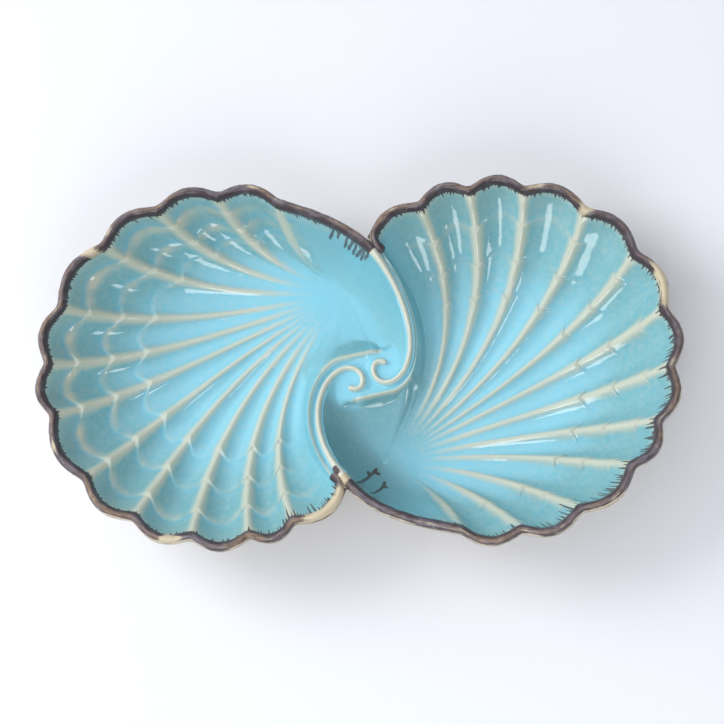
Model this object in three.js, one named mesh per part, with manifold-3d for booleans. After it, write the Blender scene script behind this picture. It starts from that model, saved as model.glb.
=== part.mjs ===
// A double shell dish: two fluted scallop bowls that swirl into each other round a pair of scrolls.
// Millimetres, +Z up. The table is z = 0 and the origin lies under the middle of the dish.
// Everything is drawn for the right bowl. The left bowl is the same form turned half a turn.
import * as THREE from "three";
import { mergeVertices } from "three/addons/utils/BufferGeometryUtils.js";
import Module from "manifold-3d";

const wasm = await Module();
wasm.setup();

// Plan of a bowl
const LOBE_RADIUS = 90; // circle through the notches of the rim
const LOBE_X = 68; // centre of the right bowl, from the middle of the dish
const LOBE_Y = 1.8;
const SCALLOP_DEPTH = 4.5; // how far a scallop swells past its notches
const SMOOTH_SWELL = 7.3; // the same for the plain stretch of rim that leads to the scroll
const SMOOTH_EASE = 38; // degrees in which the plain stretch swells out
const RIM_END = -141; // angle at which the rim turns into the scroll, degrees
// Angles of the notches, degrees from +X. The first notch is where the rim meets the other bowl.
const RIGHT_NOTCHES = [116, 99, 81, 59.5, 37.5, 16.5, -2.5, -21, -38, -60, -80, -100];
const LEFT_NOTCHES = [116, 101, 82, 62, 41, 17, -0.5, -20, -45, -66.5, -87, -107.5];

// Heights and walls
const RIM_HEIGHT = 44; // top of the rim above the table
const FOOT_HEIGHT = 3.2;
const FLOOR_THICKNESS = 5;
const WALL = 4.5; // wall of the bowl, square to its slope
const LEAST_DROP = 7; // least upright thickness where the wall turns into the floor
const EDGE_THICKNESS = 2.5; // outer edge of the bowl under the rim

// Rim and scroll, both half-round coils laid on the edge of the bowl
const RIM_WIDTH = 4.6;
const COIL_WIDTH = 3.4;
const COIL_HEIGHT = 3;
const CURL_X = 9; // centre of the upper curl, from the middle of the dish
const CURL_Y = 3;
const CURL_GAP = 2.8; // between the two curls where they pass
const CURL_RISE = 6.5; // top of the curl above the floor of the bowl
const SPIRAL_DECAY = 36.5; // degrees of turn in which the scroll closes in on its curl
const DESCENT_DECAY = 26; // degrees of turn in which it comes down from the rim
const SCROLL_TURN = 352; // whole turn of the scroll, degrees
const TUCK_TURN = 62; // last part of it, where the end of the coil tucks in
const TUCK = 2.8;

// Ribs, flutes and growth rings
const HINGE_INSET = 21.5; // point where the ribs meet, in from the end of the rim
const RIB_HEIGHT = 1.7;
const RIB_HALF = 2.6; // half width of a rib at its foot
const FLUTE_DEPTH = 0.9;
const FIRST_RING = 13.5; // outermost growth ring, from the rim along the longest rib
const RING_PITCH = 19.25;
const RING_COUNT = 3;
const RING_STEP = 1.3; // height of the step at a ring
const RING_WIDTH = 1.6; // width of that step
const RING_TAIL = 9; // how soon the swelling behind a step dies away
const RING_BULGE = 2; // how far a ring bows out between two ribs
const RIB_START = 8; // length in which a rib rises from the rim to its height
const RIB_FADE = 48; // distance from the hinge at which it starts to die away
const RIB_END = 15; // distance from the hinge at which it has died away
const LIP_INSET = 2.4; // crest of the thin lip beside the other bowl's scroll
const LIP_RISE = 1.2;
const LIP_FADE = 0.55; // share of the seam at which the lip starts to die away
const PLATEAU_RADIUS = 9.5; // raised ground round the curl
const PLATEAU_SLOPE = 6.5; // width of the slope round it

// Foot ring
const FOOT_RADIUS = 30; // middle of the ring
const FOOT_WIDTH = 6;
const FOOT_BEVEL = 1;
const FOOT_X = -14; // centre of the ring, from the centre of its bowl
const FOOT_Y = -16;

// Clearances
const SEAT_GAP = 0.3; // between pieces that lie on each other
const SEAM_GAP = 0.3; // between the two bowls along the seam

// Worked out from the above
const rad = THREE.MathUtils.degToRad;
const lobe = new THREE.Vector2(LOBE_X, LOBE_Y);
const curl = new THREE.Vector2(-CURL_X, -CURL_Y);
const curlRadius = curl.length() - COIL_WIDTH / 2 - CURL_GAP / 2;
const floorBottom = FOOT_HEIGHT + SEAT_GAP;
const floorTop = floorBottom + FLOOR_THICKNESS;
const edgeTop = RIM_HEIGHT - COIL_HEIGHT - SEAT_GAP;
const curlTop = floorTop + CURL_RISE;
const plateauTop = curlTop - COIL_HEIGHT - SEAT_GAP;
const smoothRadius = LOBE_RADIUS + SMOOTH_SWELL;
const polar = (radius, degrees) =>
  new THREE.Vector2(radius * Math.cos(rad(degrees)), radius * Math.sin(rad(degrees)));
const onLobe = (radius, degrees) => polar(radius, degrees).add(lobe);
const rimEnd = onLobe(smoothRadius - RIM_WIDTH / 2, RIM_END);
const hingeRadius = smoothRadius - RIM_WIDTH / 2 - HINGE_INSET;
const hinge = onLobe(hingeRadius, RIM_END);
const longRib = hingeRadius + LOBE_RADIUS - RIM_WIDTH;
const ringShares = Array.from({ length: RING_COUNT }, (_, i) => (FIRST_RING + i * RING_PITCH) / longRib);
const smooth = (low, high, x) => THREE.MathUtils.smoothstep(x, low, high);
const mix = THREE.MathUtils.lerp;

// Angle of the first notch: where the rim's circle meets the outside of the other bowl's plain rim.
function firstNotch() {
  const apart = 2 * lobe.length();
  const reach = smoothRadius + SEAM_GAP;
  const across = (reach ** 2 - LOBE_RADIUS ** 2 - apart ** 2) / (2 * apart * LOBE_RADIUS);
  return THREE.MathUtils.radToDeg(Math.acos(across) + lobe.angle());
}

// The scroll's middle line: a spiral that closes in on the curl while it comes down from the rim.
const scrollStart = rimEnd.clone().sub(curl);
const startAngle = THREE.MathUtils.radToDeg(scrollStart.angle());
const seamTurn = (startAngle - THREE.MathUtils.radToDeg(curl.clone().negate().angle()) + 720) % 360;
function scrollPoint(turn) {
  const tuck = TUCK * smooth(SCROLL_TURN - TUCK_TURN, SCROLL_TURN, turn);
  const radius = curlRadius + (scrollStart.length() - curlRadius) * Math.exp(-turn / SPIRAL_DECAY);
  return polar(radius - tuck, startAngle - turn).add(curl);
}
function scrollNormal(turn) {
  const ahead = scrollPoint(turn + 0.5).sub(scrollPoint(turn - 0.5));
  return new THREE.Vector2(-ahead.y, ahead.x).normalize();
}
const scrollTop = (turn) => curlTop + (RIM_HEIGHT - curlTop) * Math.exp(-turn / DESCENT_DECAY);
const scrollSeat = (turn) => scrollTop(turn) - COIL_HEIGHT - SEAT_GAP;

// Half width of the land that carries the scroll. The two lands meet at the middle of the dish.
function landHalf(turn) {
  const middle = curl.length() - curlRadius - SEAM_GAP / 2;
  return mix(RIM_WIDTH / 2, middle, smooth(0, seamTurn, turn));
}

// Angles and radii of the rim's outer edge: the scallops, then the plain stretch.
const SCALLOP_STEPS = [0, 0.16, 0.5, 0.84];
const SMOOTH_STEPS = 6;
function rimStations(notches) {
  const angles = [firstNotch(), ...notches];
  const stations = [];
  for (let k = 0; k < notches.length; k++) {
    for (const share of SCALLOP_STEPS) {
      stations.push({
        angle: mix(angles[k], angles[k + 1], share),
        radius: LOBE_RADIUS + SCALLOP_DEPTH * Math.sin(Math.PI * share),
        arc: rad(angles[k] - angles[k + 1]) * LOBE_RADIUS,
        scallop: k,
        share,
      });
    }
  }
  const last = angles[notches.length];
  for (let i = 0; i <= SMOOTH_STEPS; i++) {
    const angle = mix(last, RIM_END, i / SMOOTH_STEPS);
    const radius = LOBE_RADIUS + SMOOTH_SWELL * smooth(0, SMOOTH_EASE, last - angle);
    stations.push({ angle, radius, smooth: i / SMOOTH_STEPS });
  }
  return stations;
}

// Turns at which the seam is sampled, closer together where the scroll is far from its curl.
const SEAM_STEPS = 13;
const SEAM_CROWDING = 1.5;
const seamTurns = Array.from(
  { length: SEAM_STEPS },
  (_, i) => seamTurn * ((i + 1) / SEAM_STEPS) ** SEAM_CROWDING,
);

// How much a rib bows sideways, as a share of its length, from its direction seen from the hinge.
const STRAIGHT_RIB = 27; // direction of the rib that runs straight, degrees
const BOW_ABOVE = 0.188;
const BOW_BELOW = 0.1;
const BOW_KNEE = 0.45; // where along it a rib bows most
// Beside the other scroll the lines bow round it, and straighten before the hinge.
const SEAM_BOW = 0.23;
const SEAM_BOW_DECAY = 60; // in degrees of the scroll's turn
const SEAM_END_BOW = 0.16;
const SEAM_END_DECAY = 34;
function ribBow(from) {
  const away = from.clone().sub(hinge).angle() - rad(STRAIGHT_RIB);
  const turn = Math.atan2(Math.sin(away), Math.cos(away));
  return Math.sin(turn) * (turn > 0 ? BOW_ABOVE : BOW_BELOW);
}

// How soon the wall comes down to the floor, as a share of the way to the hinge.
const FALL_FLUTED = 0.2;
const FALL_STEEP = 0.4;

// One column of the bowl's skin runs from its outer edge, over its land, to the hinge.
function column(outer, inner, outerTop, innerTop, [bow, endBow], fall, relief = {}) {
  const way = hinge.clone().sub(inner);
  const side = new THREE.Vector2(-way.y, way.x);
  const knee = (share) => inner.clone().addScaledVector(way, BOW_KNEE).addScaledVector(side, 2 * share);
  const near = inner.clone().lerp(knee(bow), 2 / 3);
  const far = hinge.clone().lerp(knee(endBow), 2 / 3);
  const line = new THREE.CubicBezierCurve(inner, near, far, hinge);
  return { outer, inner, outerTop, innerTop, line, length: line.getLength(), fall, ...relief };
}

// The columns round a bowl: the rim, the land under its scroll, then the lip beside the other scroll.
function columnsOf(notches) {
  const columns = [];
  for (const s of rimStations(notches)) {
    const corner = s.scallop === 0 && s.share === 0;
    const turnIn = corner ? THREE.MathUtils.radToDeg(LIP_INSET / LOBE_RADIUS) : 0;
    const outer = onLobe(s.radius, s.angle);
    const inner = onLobe(s.radius - RIM_WIDTH, s.angle - turnIn);
    const plain = s.smooth ?? 0;
    const endBow = ribBow(inner) * (1 - plain);
    const bow = s.scallop === 0 ? mix(SEAM_BOW, endBow, s.share) : endBow;
    const fall = mix(FALL_FLUTED, FALL_STEEP, plain);
    columns.push(column(outer, inner, edgeTop, edgeTop, [bow, endBow], fall, s));
  }
  for (const turn of seamTurns) {
    const middle = scrollPoint(turn);
    const normal = scrollNormal(turn).multiplyScalar(landHalf(turn));
    const seat = scrollSeat(turn);
    columns.push(column(middle.clone().add(normal), middle.sub(normal), seat, seat, [0, 0], FALL_STEEP));
  }
  for (const turn of [0, ...seamTurns.slice(0, -1)].reverse()) {
    const share = turn / seamTurn;
    const normal = scrollNormal(turn);
    const edge = scrollPoint(turn).addScaledVector(normal, landHalf(turn) + SEAM_GAP).negate();
    const inset = mix(LIP_INSET, 2 * landHalf(turn), smooth(LIP_FADE, 1, share));
    const crest = edge.clone().addScaledVector(normal, -inset);
    const seat = scrollSeat(turn);
    const lip = LIP_RISE * (1 - smooth(LIP_FADE, 1, share));
    const bow = SEAM_BOW * Math.exp(-turn / SEAM_BOW_DECAY);
    const endBow = SEAM_END_BOW * Math.exp(-turn / SEAM_END_DECAY);
    const fall = mix(FALL_FLUTED, FALL_STEEP, share);
    columns.push(column(edge, crest, seat, seat + lip, [bow, endBow], fall));
  }
  return columns;
}

// Height of the bare wall above the floor, as a share of the height of its land.
function wallFall(t, fall) {
  const end = Math.exp(-1 / fall);
  return (Math.exp(-t / fall) - end) / (1 - end);
}

// Ribs on the notches, hollow flutes between them, and growth rings that step down to the rim.
function relief(c, t) {
  if (c.scallop === undefined) return 0;
  const swell = Math.sin(Math.PI * c.share);
  const off = (Math.min(c.share, 1 - c.share) * c.arc * (1 - t)) / RIB_HALF;
  const fade = smooth(0, RIB_START, t * c.length) * smooth(RIB_END, RIB_FADE, (1 - t) * c.length);
  const edge = c.scallop === 0 && c.share === 0 ? 0 : 1;
  let height = fade * (RIB_HEIGHT * edge * Math.exp(-off * off) - FLUTE_DEPTH * swell * swell);
  for (const ring of ringShares) {
    const inside = (t - ring) * c.length + RING_BULGE * swell;
    if (inside > 0) height += edge * RING_STEP * Math.exp(-inside / RING_TAIL);
  }
  return height;
}

// Rows of the inside, as shares of a column: two at each ring, more where the wall bends.
const OPEN_ROWS = [0, 0.035, 0.145, 0.265, 0.42, 0.56, 0.72, 0.87];
function insideRows(c) {
  const step = RING_WIDTH / 2 / c.length;
  const bulge = (RING_BULGE * Math.sin(Math.PI * (c.share ?? 0))) / c.length;
  const rings = ringShares.map((ring) => ring - bulge).flatMap((t) => [t - step, t + step]);
  return [...OPEN_ROWS, ...rings].sort((a, b) => a - b);
}
const OUTSIDE_ROWS = [0, 0.05, 0.12, 0.22, 0.35, 0.52, 0.76];

function insidePoint(c, t) {
  const p = c.line.getPoint(t);
  const wall = floorTop + (c.innerTop - floorTop) * wallFall(t, c.fall) + relief(c, t);
  const near = 1 - smooth(PLATEAU_RADIUS, PLATEAU_RADIUS + PLATEAU_SLOPE, p.distanceTo(curl));
  return new THREE.Vector3(p.x, p.y, Math.max(wall, mix(floorTop, plateauTop, near)));
}
function outsidePoint(c, t) {
  const p = c.line.getPoint(t);
  const above = (c.innerTop - floorTop) * wallFall(t, c.fall);
  const slope = above / (c.fall * c.length);
  const drop = Math.max(LEAST_DROP, WALL * Math.hypot(1, slope));
  return new THREE.Vector3(p.x, p.y, Math.max(floorBottom, floorTop + above - drop));
}

// A closed skin from rings of points: the inside from edge to hinge, then the outside.
function skin(columns) {
  const inside = columns.map((c) => [
    new THREE.Vector3(c.outer.x, c.outer.y, c.outerTop),
    ...insideRows(c).map((t) => insidePoint(c, t)),
  ]);
  const outside = columns.map((c) => [
    new THREE.Vector3(c.outer.x, c.outer.y, Math.max(floorBottom, c.outerTop - EDGE_THICKNESS)),
    ...OUTSIDE_ROWS.map((t) => outsidePoint(c, t)),
  ]);
  const points = [];
  const faces = [];
  const put = (v) => points.push(v.x, v.y, v.z) / 3 - 1;
  const top = inside.map((line) => line.map(put));
  const low = outside.map((line) => line.map(put));
  const topMiddle = put(new THREE.Vector3(hinge.x, hinge.y, floorTop));
  const lowMiddle = put(new THREE.Vector3(hinge.x, hinge.y, floorBottom));
  for (let c = 0; c < columns.length; c++) {
    const [a, b] = [top[c], top[(c + 1) % columns.length]];
    const [d, e] = [low[c], low[(c + 1) % columns.length]];
    for (let r = 0; r + 1 < a.length; r++) faces.push(a[r], a[r + 1], b[r + 1], a[r], b[r + 1], b[r]);
    for (let r = 0; r + 1 < d.length; r++) faces.push(d[r], e[r + 1], d[r + 1], d[r], e[r], e[r + 1]);
    faces.push(a.at(-1), topMiddle, b.at(-1), d.at(-1), e.at(-1), lowMiddle);
    faces.push(a[0], b[0], d[0], b[0], e[0], d[0]);
  }
  return geometryOf(points, faces);
}

function geometryOf(points, faces) {
  const geometry = new THREE.BufferGeometry();
  geometry.setAttribute("position", new THREE.Float32BufferAttribute(points, 3));
  geometry.setIndex(faces);
  geometry.computeVertexNormals();
  return geometry;
}

// A solid between sections of equal count, with flat ends.
function loft(sections) {
  const points = sections.flat().flatMap((v) => [v.x, v.y, v.z]);
  const count = sections[0].length;
  const faces = [];
  for (let s = 0; s + 1 < sections.length; s++) {
    for (let i = 0; i < count; i++) {
      const [a, b] = [s * count + i, s * count + ((i + 1) % count)];
      faces.push(a, b, b + count, a, b + count, a + count);
    }
  }
  const last = (sections.length - 1) * count;
  for (let i = 1; i + 1 < count; i++) faces.push(0, i + 1, i, last, last + i, last + i + 1);
  return geometryOf(points, faces);
}

// A half-round section standing on its flat side. side points to the section's left along the coil.
const SECTION_SIDES = 6;
function halfRound(middle, side, width, base, height) {
  return Array.from({ length: SECTION_SIDES + 1 }, (_, i) => {
    const turn = (Math.PI * i) / SECTION_SIDES;
    const p = middle.clone().addScaledVector(side, (width / 2) * Math.cos(turn));
    return new THREE.Vector3(p.x, p.y, base + height * Math.sin(turn));
  });
}

function rim(notches) {
  const sections = rimStations(notches).map((s) => {
    const outward = polar(1, s.angle);
    const middle = onLobe(s.radius - RIM_WIDTH / 2, s.angle);
    return halfRound(middle, outward, RIM_WIDTH, edgeTop + SEAT_GAP, COIL_HEIGHT);
  });
  return loft(sections);
}

// The scroll, or with grow the space that it needs in the land under it.
const CURL_STEPS = 16;
const END_TAPER = 0.7; // width at the curled end, as a share of the coil
function scroll(grow = 0) {
  const first = grow ? 0 : THREE.MathUtils.radToDeg(SEAT_GAP / scrollStart.length());
  const curlTurns = Array.from({ length: CURL_STEPS }, (_, i) =>
    mix(seamTurn, SCROLL_TURN, (i + 1) / CURL_STEPS),
  );
  const sections = [first, ...seamTurns, ...curlTurns].map((turn) => {
    const taper = mix(1, END_TAPER, smooth(SCROLL_TURN - TUCK_TURN, SCROLL_TURN, turn));
    const width = mix(COIL_WIDTH, RIM_WIDTH, Math.exp(-turn / DESCENT_DECAY)) * taper;
    const base = scrollTop(turn) - COIL_HEIGHT - grow;
    return halfRound(scrollPoint(turn), scrollNormal(turn), width + 2 * grow, base, COIL_HEIGHT + 2 * grow);
  });
  return loft(sections);
}

// The foot ring reaches up into the floor, and the bowl, lowered by a gap, cuts its top to fit.
const FOOT_SIDES = 48;
function footRing(bowlSkin) {
  const [near, far] = [FOOT_RADIUS - FOOT_WIDTH / 2, FOOT_RADIUS + FOOT_WIDTH / 2];
  const top = (floorTop + floorBottom) / 2;
  const profile = [
    [near + FOOT_BEVEL, 0],
    [far - FOOT_BEVEL, 0],
    [far, FOOT_BEVEL],
    [far, top],
    [near, top],
    [near, FOOT_BEVEL],
    [near + FOOT_BEVEL, 0],
  ].map(([x, y]) => new THREE.Vector2(x, y));
  const ring = new THREE.LatheGeometry(profile, FOOT_SIDES).rotateX(Math.PI / 2);
  ring.translate(LOBE_X + FOOT_X, LOBE_Y + FOOT_Y, 0);
  return cut(ring, bowlSkin.clone().translate(0, 0, -SEAT_GAP));
}

function solidOf(geometry) {
  const bare = new THREE.BufferGeometry();
  bare.setAttribute("position", geometry.getAttribute("position"));
  bare.setIndex(geometry.getIndex());
  const merged = mergeVertices(bare, 1e-4);
  return new wasm.Manifold(
    new wasm.Mesh({
      numProp: 3,
      vertProperties: merged.getAttribute("position").array,
      triVerts: new Uint32Array(merged.getIndex().array),
    }),
  );
}
function cut(geometry, tool) {
  const mesh = solidOf(geometry).subtract(solidOf(tool)).getMesh();
  return geometryOf(Array.from(mesh.vertProperties), Array.from(mesh.triVerts));
}

const glaze = new THREE.MeshStandardMaterial({ color: 0x7fcfe2, roughness: 0.12 });
const brown = new THREE.MeshStandardMaterial({ color: 0x5c4c4e, roughness: 0.3 });
const cream = new THREE.MeshStandardMaterial({ color: 0xcfd3bf, roughness: 0.15 });
const clay = new THREE.MeshStandardMaterial({ color: 0xd9ccb2, roughness: 0.85 });

function piece(name, geometry, material) {
  const mesh = new THREE.Mesh(geometry, material);
  mesh.name = name;
  return mesh;
}

// One bowl with its rim, scroll and foot.
function bowl(side, scrollName, notches) {
  const shell = skin(columnsOf(notches));
  const group = new THREE.Group();
  group.add(
    piece(`${side}_shell`, cut(shell, scroll(SEAT_GAP)), glaze),
    piece(`${side}_rim`, rim(notches), brown),
    piece(scrollName, scroll(), cream),
    piece(`${side}_foot_ring`, footRing(shell), clay),
  );
  return group;
}

const dish = new THREE.Group();
const rightBowl = bowl("right", "lower_scroll", RIGHT_NOTCHES);
const leftBowl = bowl("left", "upper_scroll", LEFT_NOTCHES);
leftBowl.rotation.z = Math.PI;
dish.add(rightBowl, leftBowl);

export default dish;
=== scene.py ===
# %% [markdown]
# A glazed earthenware dish of two scallop shells that swirl into each other.
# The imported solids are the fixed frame: they say where each piece is and how large it may be.
# Here each solid is replaced by a finer skin that is drawn from the same sizes, so that ribs,
# growth rings, lips and curls are real geometry, and the glaze is then laid on with nodes.

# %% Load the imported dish
from types import SimpleNamespace

import bpy
import numpy as np
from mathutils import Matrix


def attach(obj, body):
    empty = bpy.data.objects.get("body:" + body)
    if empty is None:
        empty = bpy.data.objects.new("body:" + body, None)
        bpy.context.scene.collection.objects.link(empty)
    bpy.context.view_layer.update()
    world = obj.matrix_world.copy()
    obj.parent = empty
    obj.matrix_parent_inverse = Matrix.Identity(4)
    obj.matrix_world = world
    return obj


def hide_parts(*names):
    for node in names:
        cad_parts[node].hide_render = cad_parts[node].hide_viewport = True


MM = 0.001


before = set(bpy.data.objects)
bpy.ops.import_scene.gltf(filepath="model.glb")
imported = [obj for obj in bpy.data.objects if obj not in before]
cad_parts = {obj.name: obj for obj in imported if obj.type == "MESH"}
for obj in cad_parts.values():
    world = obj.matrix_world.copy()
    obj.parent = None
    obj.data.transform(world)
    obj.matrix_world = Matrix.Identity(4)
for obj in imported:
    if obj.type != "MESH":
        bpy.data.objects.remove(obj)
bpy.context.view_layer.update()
print("nodes", sorted(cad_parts))

# %% [markdown]
# The camera comes first, because everything is compared with the photograph. The dish was taken
# almost from above, a little from the near right. A long lens far away keeps the bowls undistorted,
# and a small shift puts the middle of the dish where the photograph has it.

# %% Camera
PHOTO_WIDTH = 724
AZIMUTH = 24.0
ELEVATION = 75.0
DISTANCE = 2000.0
MM_PER_PIXEL = 0.4961
MIDDLE_PIXEL = (356.5, 360.4)
SENSOR_WIDTH = 36.0
CLIP_END = 50.0
RIM_HEIGHT = 44.0


def unit(v):
    return v / np.linalg.norm(v, axis=-1, keepdims=True)


def toward(azimuth, elevation):
    """The way from the dish to something that is seen at these angles."""
    turn, lift = np.radians([azimuth, elevation])
    return np.array([np.sin(turn) * np.cos(lift), -np.cos(turn) * np.cos(lift), np.sin(lift)])


def add_object(name, data):
    made = bpy.data.objects.new(name, data)
    bpy.context.scene.collection.objects.link(made)
    return made


def aim(thing, where, back, right):
    """Puts a camera or a light at a place, given the ways to its back and to its right."""
    place = np.eye(4)
    place[:3] = np.stack([right, np.cross(back, right), back, where], 1)
    thing.matrix_world = place.T


def add_camera():
    data = bpy.data.cameras.new("photo_camera")
    camera = add_object("photo_camera", data)
    back = toward(AZIMUTH, ELEVATION)
    right = np.array([1.0, 0.0, 0.0])
    right = unit(right - back * right.dot(back))
    aim(camera, (np.array([0, 0, RIM_HEIGHT]) + back * DISTANCE) * MM, back, right)
    data.sensor_width = SENSOR_WIDTH
    data.lens = SENSOR_WIDTH * DISTANCE / (MM_PER_PIXEL * PHOTO_WIDTH)
    data.shift_x = (PHOTO_WIDTH / 2 - MIDDLE_PIXEL[0]) / PHOTO_WIDTH
    data.shift_y = (MIDDLE_PIXEL[1] - PHOTO_WIDTH / 2) / PHOTO_WIDTH
    data.clip_end = CLIP_END
    bpy.context.scene.camera = camera
    return camera


camera = add_camera()
print("lens in mm", round(camera.data.lens, 1))

# %% [markdown]
# The plan of a bowl is drawn in millimetres, with the sizes of the solids. A scalloped circle leads
# round to a plain stretch of rim, and that runs into a scroll which closes in on its curl. The other
# bowl is the same drawing, turned half a turn, with its own scallop widths.

# %% Sizes of a bowl
LOBE = np.array([68.0, 1.8])
LOBE_RADIUS = 90.0
SCALLOP_DEPTH = 4.5
SCALLOP_SOFTNESS = 0.2
SMOOTH_SWELL = 7.3
SMOOTH_EASE = 38.0
RIM_END = -141.0
NOTCHES = {
    "right": [116, 99, 81, 59.5, 37.5, 16.5, -2.5, -21, -38, -60, -80, -100],
    "left": [116, 101, 82, 62, 41, 17, -0.5, -20, -45, -66.5, -87, -107.5],
}
FLOOR_BOTTOM = 3.5
FLOOR_TOP = 8.5
WALL = 4.5
LEAST_DROP = 7.0
EDGE_THICKNESS = 2.5
RIM_WIDTH = 4.6
RIM_SEAT = 0.3
COIL_WIDTH = 3.4
COIL_HEIGHT = 3.0
COIL_SHOWS = 2.3
EDGE_TOP = RIM_HEIGHT - COIL_HEIGHT - RIM_SEAT
CURL = np.array([-9.0, -3.0])
CURL_GAP = 2.8
CURL_TOP = 15.0
PLATEAU_TOP = CURL_TOP - COIL_SHOWS
SPIRAL_DECAY = 36.5
DESCENT_DECAY = 26.0
DESCENT_EASE = 3.0
SCROLL_TURN = 372.0
TUCK_TURN = 80.0
TUCK = 3.0
HINGE_INSET = 21.5
WAVES = (1.0, 0.61, 0.37, 1.73)
WAVE_LEVEL = 2.4


join = np.concatenate


def smooth(low, high, x):
    """Rises from 0 at low to 1 at high, and is level at both ends."""
    share = np.clip((np.asarray(x, float) - low) / (high - low), 0, 1)
    return share * share * (3 - 2 * share)


def mix(a, b, share):
    return a + (b - a) * share


def bell(x, half, power=2):
    """A hump of height 1, fallen to about a third at its half width."""
    return np.exp(-((np.abs(x) / half) ** power))


def wobble(x, pitch, seed):
    """A smooth wandering value of about -1 to 1 along a length."""
    phase = np.random.default_rng(seed).uniform(0, 2 * np.pi, len(WAVES))
    return sum(np.sin(2 * np.pi * x / (pitch * r) + p) for r, p in zip(WAVES, phase)) / WAVE_LEVEL


def polar(radius, degrees):
    turn = np.radians(degrees)
    return np.stack([radius * np.cos(turn), radius * np.sin(turn)], -1)


def on_lobe(radius, degrees):
    return LOBE + polar(radius, degrees)


def angle_of(v):
    return np.degrees(np.arctan2(v[1], v[0]))


SMOOTH_RADIUS = LOBE_RADIUS + SMOOTH_SWELL
HINGE_RADIUS = SMOOTH_RADIUS - RIM_WIDTH / 2 - HINGE_INSET
HINGE = on_lobe(HINGE_RADIUS, RIM_END)
LONG_RIB = HINGE_RADIUS + LOBE_RADIUS - RIM_WIDTH
CURL_RADIUS = np.hypot(*CURL) - COIL_WIDTH / 2 - CURL_GAP / 2
SCROLL_START = on_lobe(SMOOTH_RADIUS - RIM_WIDTH / 2, RIM_END) - CURL
SCROLL_REACH = np.hypot(*SCROLL_START)
START_ANGLE = angle_of(SCROLL_START)
SEAM_TURN = (START_ANGLE - angle_of(-CURL)) % 360


def first_notch():
    """Angle at which the rim's circle meets the outside of the other bowl's plain rim."""
    apart = 2 * np.hypot(*LOBE)
    across = (SMOOTH_RADIUS**2 - LOBE_RADIUS**2 - apart**2) / (2 * apart * LOBE_RADIUS)
    return np.degrees(np.arccos(across)) + angle_of(LOBE)


FIRST_NOTCH = first_notch()
print("hinge", HINGE.round(1), "first notch", round(FIRST_NOTCH, 1), "seam turn", round(SEAM_TURN, 1))

# %% [markdown]
# The scroll's middle line is a spiral in plan that falls from the rim to the curl. Beside it, each
# bowl has a strip of land, and the two strips meet in a narrow groove. A place on the scroll is told
# by how many degrees it has turned round the curl.

# %% Scroll lines
NORMAL_STEP = 0.5
SINKS_BY = 14.0
GROOVE_DEPTH = 0.6
GROOVE_OPENS = 10.0


def left_of(v):
    """Plan vectors, turned a quarter turn to their left."""
    return np.stack([-v[..., 1], v[..., 0]], -1)


def scroll_point(turn):
    turn = np.asarray(turn, float)
    tuck = TUCK * smooth(SCROLL_TURN - TUCK_TURN, SCROLL_TURN, turn)
    radius = CURL_RADIUS + (SCROLL_REACH - CURL_RADIUS) * np.exp(-turn / SPIRAL_DECAY) - tuck
    return CURL + polar(radius, START_ANGLE - turn)


def scroll_normal(turn):
    return unit(left_of(scroll_point(turn + NORMAL_STEP) - scroll_point(turn - NORMAL_STEP)))


def scroll_top(turn):
    """Height of the coil: level with the rim at its start, and then falling ever more slowly."""
    turn = np.asarray(turn, float)
    eased = turn**2 / (turn + DESCENT_EASE)
    return CURL_TOP + (RIM_HEIGHT - CURL_TOP) * np.exp(-eased / DESCENT_DECAY)


def scroll_seat(turn):
    """Height of the land: the coil is sunk in it, and only its upper part shows."""
    return scroll_top(turn) - mix(COIL_HEIGHT + RIM_SEAT, COIL_SHOWS, smooth(0, SINKS_BY, turn))


def seam_height(turn):
    """Height at the seam, in the groove between the two strips of land."""
    return scroll_seat(turn) - GROOVE_DEPTH * smooth(0, GROOVE_OPENS, turn)


def land_half(turn):
    middle = np.hypot(*CURL) - CURL_RADIUS
    return mix(RIM_WIDTH / 2, middle, smooth(0, SEAM_TURN, turn))


def beside_scroll(turn, off):
    """Points off the outer edge of the land. Negated, they lie beside the other bowl's scroll."""
    return scroll_point(turn) + scroll_normal(turn) * (land_half(turn) + off)[:, None]


print("scroll runs from", scroll_point(0).round(1), "to", scroll_point(SCROLL_TURN).round(1))

# %% [markdown]
# A bowl's skin is a fan of lines that run from its edge to the hinge, the point where a shell's ribs
# meet. A subdivided plane could not carry ribs that bow, so each line is a Bezier curve, and what it
# needs to know, such as how far it lies from the next rib, is kept in arrays. The lines start on the
# rim, on the land of the bowl's own scroll, and on the thin lip beside the other bowl's scroll. That
# lip leaves the scroll near the middle and runs on to a tip below the bowl's own curl.

# %% The fan of lines
SCALLOP_LINES = 28
PLAIN_LINES = 56
SEAM_LINES = 80
SEAM_CLOSER = 1.5
MIDDLE_STARTS = 190.0
MIDDLE_LINES = 66
ON_RIM, ON_LAND, ON_LIP = 0, 1, 2
FAR = 99.0
STRAIGHT_RIB = 27.0
BOW_ABOVE = 0.188
BOW_BELOW = 0.1
BOW_KNEE = 0.45
SEAM_BOW = 0.23
SEAM_BOW_DECAY = 60.0
SEAM_END_BOW = 0.16
SEAM_END_DECAY = 34.0
CORNER_END_BOW = 0.172
CORNER_SHARE = 0.2
FALL_FLUTED = 0.2
FALL_STEEP = 0.4
FALL_SEAM = 0.52
FALL_TURN = 60.0
LIP_INSET = 2.4
LIP_NARROW = {"right": 1.2, "left": 2.4}
LIP_WIDENS = (50.0, 105.0)
LIP_RISE = 1.8
LIP_STARTS = {"right": (50.0, 110.0), "left": (0.0, 12.0)}
LIP_HANDS_ON = (110.0, 160.0)
LIP_LEAVES = 168.0
LIP_PASSES = 214.0
LIP_TIP = np.array([-10.5, -13.2])
LIP_START_PULL = 7.0
LIP_TIP_PULL = np.array([8.0, 0.4])
BRIDGE_LINES = 0.5
LAND_LAG = 0.95
FIRST_RELIEF = 0.7
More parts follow.
